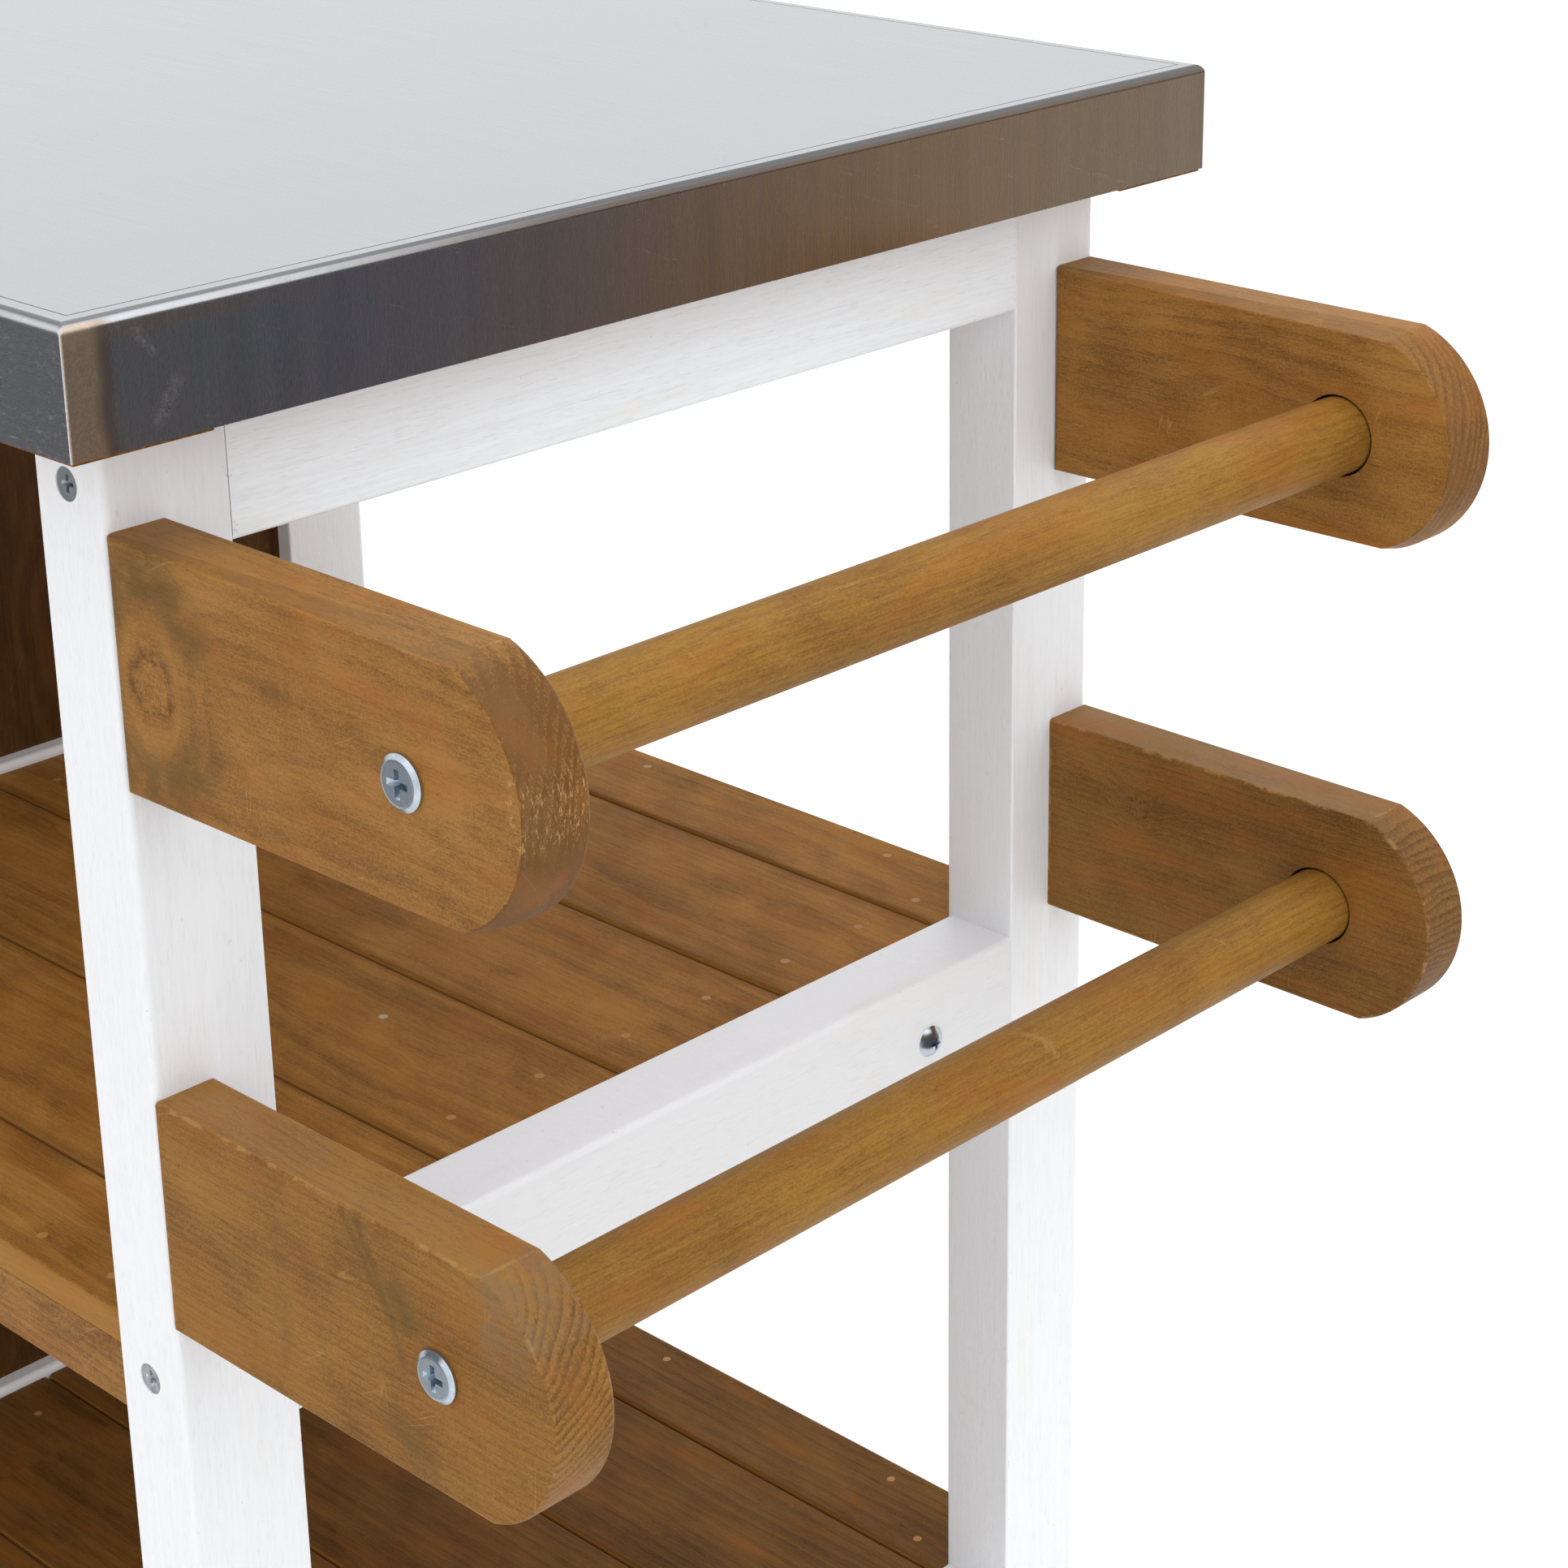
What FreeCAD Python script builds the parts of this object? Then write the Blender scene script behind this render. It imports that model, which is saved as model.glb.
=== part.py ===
"""Kitchen table with a steel-clad top, an open bay with shelves and two towel bars, and a cabinet bay.

Frame of the part: millimetres, +Z up from the floor, +X towards the towel bars, -Y towards the front.
The origin is on the floor, under the middle of the part's bounding box.
"""

import FreeCAD
import Part
import math
import os

V = FreeCAD.Vector

# Overall sizes
HEIGHT = 840.0
FRAME_LENGTH = 846.0
FRAME_DEPTH = 400.0
OVERHANG_END = 27.0
OVERHANG_SIDE = 25.0
FIT = 0.25

# Top: steel pan over a board and battens
STEEL = 1.0
STEEL_EDGE_H = 35.0
STEEL_EDGE_R = 3.0
STEEL_CORNER_R = 0.9
SCRIBE_INSET = 6.5
SCRIBE_W = 0.5
SCRIBE_D = 0.2
CORE_BOARD_T = 18.0
CORE_DROP = 1.0
BATTEN_W = 42.0
CROSS_BATTEN_W = 56.0

# Legs, posts and the rails between them
LEG_X = 30.0
LEG_Y = 40.0
EDGE_R = 2.5
JOINT_EDGE_R = 0.8
TOP_RAIL_H = 42.0
RAIL_H = 40.0
BAY = (FRAME_LENGTH - 3 * LEG_X) / 2
GLIDE_R = 10.0
GLIDE_H = 5.0
GLIDE_PIN_R = 1.6
GLIDE_PIN_L = 14.0

# Shelves
UPPER_SHELF_Z = 530.0
LOWER_SHELF_Z = 252.0
RAIL_PROUD = 3.5
BOARD_T = 10.0
BOARD_PITCH = 77.0
BOARD_GAP = 1.4
BOARD_EDGE_R = 1.6
BOARD_COUNT = 6
SHELF_DEPTH = 396.0
SHELF_SHIFT = 1.5
SHELF_END_GAP = 0.5
BEARER_W = 20.0
BEARER_H = 22.0
BEARER_EDGE_R = 1.2
CROSS_W = 32.0
NAIL_INSET = 22.0
NAIL_SPREAD = 19.0
NAIL_SPREAD_NARROW = 11.0
BEARER_NAIL_INSET = 57.0

# Panels in the grooves of the partition, the left end and the cabinet back
PANEL_T = 9.0
PANEL_RECESS = 8.0
GROOVE_D = 6.0
PANEL_IN_GROOVE = 5.6

# Towel bars and their brackets
BRACKET_T = 20.0
BRACKET_H = 72.0
BRACKET_STRAIGHT = 135.0
BRACKET_REACH = 161.0
UPPER_BAR_Z = 739.0
LOWER_BAR_Z = 575.5
BAR_X = 116.5
BAR_R = 12.5
SOCKET_R = 13.4
SOCKET_D = 9.0
BRACKET_EDGE_R = {"upper": 1.6, "lower": 1.1}
ROUT_W = 9.5
ROUT_D = 2.2
ROUT_ROOT_D = 0.6
ROUT_EDGE_R = 0.7
ROOT_EDGE_R = 2.0
BRACKET_SCREW_RISE = 18.0

# Door, hinges, knob and catch
DOOR_T = 20.0
DOOR_STILE_W = 42.0
DOOR_GAP = 2.0
HINGE_GAP = 3.0
DOOR_TOP_GAP = 3.0
DOOR_FOOT_GAP = 3.0
DOOR_SHELF_GAP = 4.0
DOOR_PANEL_T = 7.0
DOOR_PANEL_RECESS = 7.0
DOOR_EDGE_R = 1.5
LEAF_T = 1.2
LEAF_H = 50.0
LEAF_W = 19.0
KNUCKLE_R = 3.2
KNUCKLE_FRONT = 3.7
KNUCKLE_SPLIT = 16.0
KNUCKLE_CLEAR = 0.35
PIN_R = 1.5
PIN_CLEAR = 0.06
HINGE_INSET = 70.0
HINGE_SCREW_INSET = 10.0
HINGE_SCREW_Y = 12.0
KNOB_R = 14.0
KNOB_L = 24.0
CATCH_W = 12.0
CATCH_D = 15.0
CATCH_H = 44.0
CATCH_GAP = 0.4
CATCH_DROP = 30.0
CATCH_SCREW_RISE = 14.0
STRIKE_W = 15.0
STRIKE_T = 1.2

# Fasteners: head radius, head height, shank radius, length under the head's top
WOOD_SCREW = (4.7, 3.0, 2.4, 60.0)
BATTEN_SCREW = (4.7, 3.0, 2.4, 52.0)
SMALL_SCREW = (3.0, 1.8, 1.4, 13.0)
KNOB_SCREW = (4.0, 2.6, 2.0, 34.0)
BAR_SCREW_HEAD_R = 7.5
BAR_SCREW_HEAD_H = 2.0
BAR_SCREW_R = 2.8
BAR_SCREW_L = 48.0
BOLT_HEAD_R = 5.75
BOLT_HEAD_H = 3.0
BOLT_R = 3.0
BOLT_L = 50.0
BOLT_Y = 117.0
NAIL_HEAD_R = 1.7
NAIL_HEAD_H = 0.8
NAIL_R = 0.9
NAIL_L = 26.0
HOLE_CLEAR = 0.05
SCREW_SINK = 0.4
TOP_SCREW_Y = 70.0
TOP_SCREW_X = {"right": 15.0, "partition": 7.0, "left": 24.0}
BATTEN_SCREW_Y = {"open": 117.0, "cabinet": 80.0}

# Places that follow from the sizes
X_RIGHT = (FRAME_LENGTH + OVERHANG_END - BRACKET_REACH) / 2
X_LEFT = X_RIGHT - FRAME_LENGTH
Y_FRONT = -FRAME_DEPTH / 2
Y_BACK = FRAME_DEPTH / 2
SKIRT_Z = HEIGHT - STEEL_EDGE_H
LEG_TOP = SKIRT_Z - CORE_DROP
BATTEN_TOP = HEIGHT - STEEL - CORE_BOARD_T
TOP_RAIL_Z = SKIRT_Z - TOP_RAIL_H
FRAME_X = {
    "right": X_RIGHT - LEG_X,
    "partition": X_RIGHT - 2 * LEG_X - BAY,
    "left": X_LEFT,
}
BAY_X = {
    "open": (FRAME_X["partition"] + LEG_X, FRAME_X["right"]),
    "cabinet": (FRAME_X["left"] + LEG_X, FRAME_X["partition"]),
}
RAIL_TOP = {"middle": UPPER_SHELF_Z + RAIL_PROUD, "bottom": LOWER_SHELF_Z + RAIL_PROUD}
RAIL_SCREW_DROP = {"top": 18.5, "middle": 16.0, "bottom": 16.0}
SHELF_Z = {"middle": UPPER_SHELF_Z, "bottom": LOWER_SHELF_Z}
SHELF_BACK = Y_FRONT + SHELF_SHIFT + (FRAME_DEPTH + SHELF_DEPTH) / 2
CABINET_SHELF_FRONT = Y_FRONT + DOOR_T + DOOR_SHELF_GAP


def box(x, y, z):
    """A block between the two ends given for each axis."""
    return Part.makeBox(x[1] - x[0], y[1] - y[0], z[1] - z[0], V(x[0], y[0], z[0]))


def cylinder(radius, length, foot, along):
    return Part.makeCylinder(radius, length, foot, along)


def edges_along(shape, axis):
    """The straight edges of a shape that run along one axis."""
    found = []
    for edge in shape.Edges:
        ends = [v.Point for v in edge.Vertexes]
        if len(ends) == 2:
            run = ends[1] - ends[0]
            if abs(abs(run.dot(axis)) - run.Length) < 1e-6 and run.Length > 1e-6:
                found.append(edge)
    return found


def rounded_bar(x, y, z, axis, radius=EDGE_R):
    """A sawn bar with its four long edges rounded over."""
    bar = box(x, y, z)
    return bar.makeFillet(radius, edges_along(bar, axis))


def placed(shape, point, outward):
    """A fastener drawn with its head up +Z at the origin, moved so that its head looks outward."""
    moved = shape.copy()
    moved.Placement = FreeCAD.Placement(point, FreeCAD.Rotation(V(0, 0, 1), outward))
    return moved


def turned(outline):
    """A solid of revolution about Z from (radius, height) points, first and last on the axis."""
    points = [V(r, 0, z) for r, z in outline]
    face = Part.Face(Part.makePolygon(points + [points[0]]))
    return face.revolve(V(0, 0, 0), V(0, 0, 1), 360)


def cross_recess(reach, depth):
    """A cross-shaped driver recess that narrows downwards, its mouth at z = 0."""
    wires = []
    for scale, z in ((1.0, 0.05), (0.45, -depth)):
        half, arm = 0.24 * reach * scale, reach * scale
        points = []
        for quarter in range(4):
            turn = FreeCAD.Rotation(V(0, 0, 1), 90 * quarter)
            for x, y in ((half, half), (half, arm), (-half, arm)):
                points.append(turn.multVec(V(x, y, z)))
        wires.append(Part.makePolygon(points + [points[0]]))
    return Part.makeLoft(wires, True, True)


def wood_screw(size):
    """A countersunk screw with its flat head's top at z = 0."""
    head_r, head_h, shank_r, length = size
    tip = 2.5 * shank_r
    body = turned([(0, 0), (head_r, 0), (head_r, -0.4), (shank_r, -head_h),
                   (shank_r, tip - length), (0, -length)])
    return body.cut(cross_recess(0.55 * head_r, 0.7 * head_h))


def wood_screw_hole(size):
    """What a countersunk screw takes out of the wood, from just above its head."""
    head_r, head_h, shank_r, length = size
    tip = 2.5 * shank_r
    c = HOLE_CLEAR
    return turned([(0, 1), (head_r + c, 1), (head_r + c, -0.4 - c), (shank_r + c, -head_h - c),
                   (shank_r + c, tip - length), (0, -length - c)])


def bar_screw():
    """The broad screw that holds a towel bar: its head's underside is at z = 0."""
    rim, face = BAR_SCREW_HEAD_R, BAR_SCREW_HEAD_R - 1.3
    h = BAR_SCREW_HEAD_H
    body = turned([(0, h), (face - 0.6, h), (face, h - 0.15), (rim, 0.45 * h), (rim, 0),
                   (BAR_SCREW_R, 0), (BAR_SCREW_R, 6 - BAR_SCREW_L), (0, -BAR_SCREW_L)])
    recess = cross_recess(3.9, 2.6)
    recess.translate(V(0, 0, h))
    return body.cut(recess)


def bar_screw_hole():
    c = HOLE_CLEAR
    return turned([(0, 1), (BAR_SCREW_R + c, 1), (BAR_SCREW_R + c, 6 - BAR_SCREW_L),
                   (0, -BAR_SCREW_L - c)])


def shelf_bolt():
    """A dome-headed bolt: its head's underside is at z = 0."""
    ball_r = (BOLT_HEAD_R ** 2 + BOLT_HEAD_H ** 2) / (2 * BOLT_HEAD_H)
    ball = Part.makeSphere(ball_r, V(0, 0, BOLT_HEAD_H - ball_r))
    above = cylinder(BOLT_HEAD_R + 1, 2 * BOLT_HEAD_H, V(0, 0, 0), V(0, 0, 1))
    shank = cylinder(BOLT_R, BOLT_L, V(0, 0, -BOLT_L), V(0, 0, 1))
    recess = cross_recess(2.9, 2.0)
    recess.translate(V(0, 0, BOLT_HEAD_H))
    return ball.common(above).fuse(shank).cut(recess).removeSplitter()


def shelf_bolt_hole():
    return cylinder(BOLT_R + HOLE_CLEAR, BOLT_L + 1 + HOLE_CLEAR, V(0, 0, 1), V(0, 0, -1))


def nail(extra=0.0):
    """A shelf nail with its head's top at z = 0; extra widens it into the hole it makes."""
    head, shank = NAIL_HEAD_R + extra, NAIL_R + extra
    return turned([(0, 20 * extra), (head, 20 * extra), (head, -NAIL_HEAD_H - extra),
                   (shank, -NAIL_HEAD_H - extra), (shank, 2 - NAIL_L), (0, -NAIL_L - extra)])


def spots_of_frame_screws():
    """(point, outward, size) of every countersunk screw in the white frames and the top."""
    spots = []
    for name, x in FRAME_X.items():
        middle = x + LEG_X / 2
        tops = {"top": LEG_TOP, "middle": RAIL_TOP["middle"], "bottom": RAIL_TOP["bottom"]}
        for level, top in tops.items():
            z = top - RAIL_SCREW_DROP[level]
            for side, y in ((-1, Y_FRONT + SCREW_SINK), (1, Y_BACK - SCREW_SINK)):
                spots.append((V(middle, y, z), V(0, side, 0), WOOD_SCREW))
        for y in (-TOP_SCREW_Y, TOP_SCREW_Y):
            foot = V(x + TOP_SCREW_X[name], y, TOP_RAIL_Z + SCREW_SINK)
            spots.append((foot, V(0, 0, -1), WOOD_SCREW))
    for z in (UPPER_BAR_Z, LOWER_BAR_Z):
        for y in (Y_FRONT + BRACKET_T / 2, Y_BACK - BRACKET_T / 2):
            for rise in (-BRACKET_SCREW_RISE, BRACKET_SCREW_RISE):
                spots.append((V(FRAME_X["right"] + SCREW_SINK, y, z + rise), V(-1, 0, 0), WOOD_SCREW))
    for shelf_z in SHELF_Z.values():
        z = shelf_z - BOARD_T - BEARER_H / 2
        for side, x, bay in ((1, BAY_X["open"][0], "open"), (-1, BAY_X["cabinet"][1], "cabinet")):
            face = x + side * (SHELF_END_GAP + CROSS_W - SCREW_SINK)
            for across in (-BATTEN_SCREW_Y[bay], BATTEN_SCREW_Y[bay]):
                spots.append((V(face, across, z), V(side, 0, 0), BATTEN_SCREW))
    return spots


def spots_of_bolts():
    """The bolts through the end frames' rails into the shelves' cross battens."""
    spots = []
    for shelf_z in SHELF_Z.values():
        z = shelf_z - BOARD_T - BEARER_H / 2
        for side, x in ((1, X_RIGHT), (-1, X_LEFT)):
            for y in (-BOLT_Y, BOLT_Y):
                spots.append((V(x, y, z), V(side, 0, 0)))
    return spots


def board_edges(first, last):
    """The front and back edge of each of a shelf's boards, at the pitch that centres the seams."""
    centre = SHELF_SHIFT
    seams = [centre + BOARD_PITCH * (i - (BOARD_COUNT - 2) / 2) for i in range(BOARD_COUNT - 1)]
    starts = [first] + [s + BOARD_GAP / 2 for s in seams]
    ends = [s - BOARD_GAP / 2 for s in seams] + [last]
    return [pair for pair in zip(starts, ends) if pair[1] - pair[0] > BEARER_W]


def shelf_span(bay, level):
    """The front and back edge of a shelf: the shelf behind the door stops short of it."""
    behind_door = bay == "cabinet" and level == "middle"
    front = CABINET_SHELF_FRONT if behind_door else SHELF_BACK - SHELF_DEPTH
    back = Y_BACK - PANEL_RECESS - PANEL_T - FIT if bay == "cabinet" else SHELF_BACK
    return front, back


def nail_offsets(width):
    """How far from a board's middle line its nails are: a narrow strip has only one."""
    if width > 2 * BEARER_W + 8:
        return (-NAIL_SPREAD, NAIL_SPREAD)
    if width > 1.6 * BEARER_W:
        return (-NAIL_SPREAD_NARROW, NAIL_SPREAD_NARROW)
    return (0,)


def spots_of_nails(bay, level):
    """Where the nails go through a shelf's boards into its battens and bearers."""
    x0, x1 = BAY_X[bay]
    front, back = shelf_span(bay, level)
    z = SHELF_Z[level]
    spots = []
    for y0, y1 in board_edges(front, back):
        for x in (x0 + NAIL_INSET, x1 - NAIL_INSET):
            for offset in nail_offsets(y1 - y0):
                spots.append(V(x, (y0 + y1) / 2 + offset, z))
    for x in (x1 - BEARER_NAIL_INSET, (x0 + x1) / 2, x0 + BEARER_NAIL_INSET):
        spots.append(V(x, front + BEARER_W / 2, z))
        spots.append(V(x, back - BEARER_W / 2, z))
    return spots


def cut_all(shape, tools):
    """The shape with every tool that reaches it cut away."""
    near = [t for t in tools if t.BoundBox.intersect(shape.BoundBox)]
    return shape.cut(near) if near else shape


def steel_block(inset, z0, z1):
    """A block as wide as the top, less an inset all round."""
    x = (X_LEFT - OVERHANG_END + inset, X_RIGHT + OVERHANG_END - inset)
    y = (Y_FRONT - OVERHANG_SIDE + inset, Y_BACK + OVERHANG_SIDE - inset)
    return box(x, y, (z0, z1))


def steel_skin():
    """A folded pan with closed corners, a softly rounded fold and a line scribed near the edge."""

    def pan(inset, radius, z0):
        block = steel_block(inset, z0, HEIGHT - inset)
        fold = [e for e in block.Edges if min(v.Z for v in e.Vertexes) > HEIGHT - inset - 0.01]
        return block.makeFillet(radius, fold)

    outer = pan(0, STEEL_EDGE_R, SKIRT_Z)
    corners = [e for e in edges_along(outer, V(0, 0, 1)) if e.Length > STEEL_EDGE_H / 2]
    outer = outer.makeFillet(STEEL_CORNER_R, corners)
    low, high = HEIGHT - SCRIBE_D, HEIGHT + 1
    scribe = steel_block(SCRIBE_INSET, low, high).cut(steel_block(SCRIBE_INSET + SCRIBE_W, low - 1, high + 1))
    return outer.cut([pan(STEEL, STEEL_EDGE_R - STEEL, SKIRT_Z - 5), scribe])


def core_sides():
    """The outer faces of the board and battens under the steel."""
    inset = STEEL + FIT
    x = (X_LEFT - OVERHANG_END + inset, X_RIGHT + OVERHANG_END - inset)
    y = (Y_FRONT - OVERHANG_SIDE + inset, Y_BACK + OVERHANG_SIDE - inset)
    return x, y


def core_board():
    x, y = core_sides()
    top = HEIGHT - STEEL
    block = box(x, y, (BATTEN_TOP, top))
    fold = [e for e in block.Edges if min(v.Z for v in e.Vertexes) > top - 0.01]
    return block.makeChamfer(STEEL_EDGE_R - STEEL, fold)


def core_battens():
    """The front and back battens, and the shorter ones over the three frames' rails."""
    x, y = core_sides()
    middle = FRAME_X["partition"] + LEG_X / 2
    inner = (y[0] + BATTEN_W + FIT, y[1] - BATTEN_W - FIT)
    w = CROSS_BATTEN_W
    spans = [(x[0], x[0] + w), (middle - w / 2, middle + w / 2), (x[1] - w, x[1])]
    long_z, cross_z = (LEG_TOP, BATTEN_TOP), (SKIRT_Z, BATTEN_TOP)
    solids = [box(x, (y[0], y[0] + BATTEN_W), long_z), box(x, (y[1] - BATTEN_W, y[1]), long_z)]
    return solids + [box(span, inner, cross_z) for span in spans]


def upright(x, y, foot):
    """A leg or post: its edges are less rounded on the side where the rails meet it."""
    bar = box((x, x + LEG_X), (y, y + LEG_Y), (foot, LEG_TOP))
    long_edges = edges_along(bar, V(0, 0, 1))
    outer_y = y if y < 0 else y + LEG_Y
    outer = [e for e in long_edges if abs(e.Vertexes[0].Y - outer_y) < 1e-3]
    bar = bar.makeFillet(EDGE_R, outer)
    inner_y = y + LEG_Y if y < 0 else y
    inner = [e for e in edges_along(bar, V(0, 0, 1)) if abs(e.Vertexes[0].Y - inner_y) < 1e-3]
    return bar.makeFillet(JOINT_EDGE_R, inner)


def rail(x, z0, z1):
    """A rail between a frame's two uprights, its ends cut square."""
    return rounded_bar((x, x + LEG_X), (Y_FRONT + LEG_Y, Y_BACK - LEG_Y), (z0, z1), V(0, 1, 0))


def panel_x(frame):
    """The two faces of a frame's panel: it sits nearer the frame's outer side."""
    if frame == "left":
        return FRAME_X[frame] + PANEL_RECESS, FRAME_X[frame] + PANEL_RECESS + PANEL_T
    right_face = FRAME_X[frame] + LEG_X - PANEL_RECESS
    return right_face - PANEL_T, right_face


def panel_openings():
    """The two openings of a closed frame, as (low z, high z)."""
    return {
        "upper": (RAIL_TOP["middle"], TOP_RAIL_Z),
        "lower": (RAIL_TOP["bottom"], RAIL_TOP["middle"] - RAIL_H),
    }


def side_panel(frame, which, reach, slack=0.0):
    """A panel, or with slack the groove that holds it, reaching into the frame all round."""
    x0, x1 = panel_x(frame)
    z0, z1 = panel_openings()[which]
    y = (Y_FRONT + LEG_Y - reach, Y_BACK - LEG_Y + reach)
    return box((x0 - slack, x1 + slack), y, (z0 - reach, z1 + reach))


def back_panel(reach, slack=0.0, top=LEG_TOP - FIT):
    """The cabinet's back, let into the left leg and the partition's post."""
    y1 = Y_BACK - PANEL_RECESS
    x = (BAY_X["cabinet"][0] - reach, BAY_X["cabinet"][1] + reach)
    return box(x, (y1 - PANEL_T - slack, y1 + slack), (LOWER_SHELF_Z - BOARD_T - BEARER_H, top))


def grooves():
    slack = FIT / 2
    cuts = [side_panel(f, w, GROOVE_D, slack) for f in ("partition", "left") for w in ("upper", "lower")]
    return cuts + [back_panel(GROOVE_D, slack, LEG_TOP + 1)]


def bracket_arc():
    """The radius of a bracket's nose, and how far past the leg the arc's centre is."""
    half, sag = BRACKET_H / 2, BRACKET_REACH - BRACKET_STRAIGHT
    radius = (half ** 2 + sag ** 2) / (2 * sag)
    return radius, BRACKET_REACH - radius


def bracket(y0, z, radius):
    """A towel-bar bracket: straight sides, then one arc from kink to kink."""
    half = BRACKET_H / 2
    root = V(X_RIGHT, y0, z)
    corners = [V(0, 0, -half), V(BRACKET_STRAIGHT, 0, -half), V(BRACKET_STRAIGHT, 0, half), V(0, 0, half)]
    corners = [root + c for c in corners]
    nose = root + V(BRACKET_REACH, 0, 0)
    outline = [
        Part.makeLine(corners[0], corners[1]),
        Part.Arc(corners[1], nose, corners[2]).toShape(),
        Part.makeLine(corners[2], corners[3]),
        Part.makeLine(corners[3], corners[0]),
    ]
    blank = Part.Face(Part.Wire(outline)).extrude(V(0, BRACKET_T, 0))
    rim = [e for e in blank.Edges if abs(e.Vertexes[0].Y - e.Vertexes[-1].Y) < 1e-6]
    rim = [e for e in rim if e.BoundBox.XMax > X_RIGHT + 1e-3]
    return blank.makeFillet(radius, rim)


def routed_rim(y0, z):
    """What is planed off an upper bracket's front rim: narrow at the root, broad round the nose."""
    arc_r, arc_x = bracket_arc()
    half, slope = BRACKET_H / 2, ROUT_D / ROUT_W
    nose = V(X_RIGHT + arc_x, y0 - 1, z)
    kink = X_RIGHT + BRACKET_STRAIGHT
    cone = Part.makeCone(arc_r - ROUT_D - slope, arc_r + slope, ROUT_W + 2, nose, V(0, 1, 0))
    around = box((kink, kink + BRACKET_H), (y0 - 1, y0 + ROUT_W + 1), (z - BRACKET_H, z + BRACKET_H))
    cuts = [around.cut(cone)]
    kink_depth = half - math.sqrt((arc_r - ROUT_D) ** 2 - (BRACKET_STRAIGHT - arc_x) ** 2)
    for up in (-1, 1):
        ends = []
        for x, depth in ((X_RIGHT, ROUT_ROOT_D), (kink, kink_depth)):
            low, high = half - depth - slope, half + 4 * slope
            far = y0 + depth / slope + 4
            points = [V(x, y0 - 1, z + up * low), V(x, far, z + up * high), V(x, y0 - 1, z + up * high)]
            ends.append(Part.makePolygon(points + [points[0]]))
        cuts.append(Part.makeLoft(ends, True, True))
    return cuts


def upper_bracket(y0, z, radius):
    """An upper bracket, with its front rim planed and its new edges eased."""
    planed = bracket(y0, z, radius).cut(routed_rim(y0, z))
    fresh = [e for e in planed.Edges if e.BoundBox.YMax < y0 + ROUT_W + 0.2 and e.Length > 1.5 * ROUT_W]
    fresh = [e for e in fresh if e.BoundBox.XMax > X_RIGHT + 0.1]
    return planed.makeFillet(ROUT_EDGE_R, fresh).cut(root_corner(y0, z))


def root_corner(y0, z):
    """What rounds the front edge of an upper bracket's end, where it meets the leg."""
    r, half = ROOT_EDGE_R, BRACKET_H / 2 + 1
    corner = box((X_RIGHT - 1, X_RIGHT + r), (y0 - 1, y0 + r), (z - half, z + half))
    return corner.cut(cylinder(r, 2 * half + 2, V(X_RIGHT + r, y0 + r, z - half - 1), V(0, 0, 1)))


def brackets_and_bars():
    """The four brackets with their sockets, the two bars, and the screws in the bars' ends."""
    shapes, screws = {}, []
    for level, z in (("upper", UPPER_BAR_Z), ("lower", LOWER_BAR_Z)):
        x = X_RIGHT + BAR_X
        ends = Y_FRONT + BRACKET_T - SOCKET_D, Y_BACK - BRACKET_T + SOCKET_D
        bar = cylinder(BAR_R, ends[1] - ends[0], V(x, ends[0], z), V(0, 1, 0))
        for side, y, name in ((-1, Y_FRONT, "front"), (1, Y_BACK, "back")):
            outward = V(0, side, 0)
            y0 = y if side < 0 else y - BRACKET_T
            socket_y = y - side * (BRACKET_T - SOCKET_D)
            socket = cylinder(SOCKET_R, SOCKET_D + 5, V(x, socket_y, z), outward * -1)
            hole = placed(bar_screw_hole(), V(x, y, z), outward)
            make = upper_bracket if level == "upper" else bracket
            blank = make(y0, z, BRACKET_EDGE_R[level])
            shapes[f"bar_bracket_{level}_{name}"] = blank.cut([socket, hole])
            screws.append(placed(bar_screw(), V(x, y, z), outward))
            bar = bar.cut(hole)
        shapes[f"towel_bar_{level}"] = bar
    return shapes, screws


def shelf_boards(bay, level, holes):
    x0, x1 = BAY_X[bay]
    front, back = shelf_span(bay, level)
    z = SHELF_Z[level]
    boards = []
    for y in board_edges(front, back):
        blank = box((x0 + SHELF_END_GAP, x1 - SHELF_END_GAP), y, (z - BOARD_T, z))
        long_top = [e for e in edges_along(blank, V(1, 0, 0)) if e.Vertexes[0].Z > z - 0.01]
        boards.append(cut_all(blank.makeFillet(BOARD_EDGE_R, long_top), holes))
    return boards


def bearers(bay, level):
    """The front and back bearers under a shelf's boards."""
    x0, x1 = BAY_X[bay]
    front, back = shelf_span(bay, level)
    z1 = SHELF_Z[level] - BOARD_T
    x = (x0 + SHELF_END_GAP, x1 - SHELF_END_GAP)
    places = ((front, front + BEARER_W), (back - BEARER_W, back))
    return [rounded_bar(x, y, (z1 - BEARER_H, z1), V(1, 0, 0), BEARER_EDGE_R) for y in places]


def cross_battens(bay, level):
    """The battens beside the rails, between a shelf's bearers."""
    x0, x1 = BAY_X[bay]
    front, back = shelf_span(bay, level)
    z1 = SHELF_Z[level] - BOARD_T
    y = (front + BEARER_W + FIT, back - BEARER_W - FIT)
    near, far = SHELF_END_GAP, SHELF_END_GAP + CROSS_W
    ends = ((x0 + near, x0 + far), (x1 - far, x1 - near))
    return [box(x, y, (z1 - BEARER_H, z1)) for x in ends]


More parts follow.
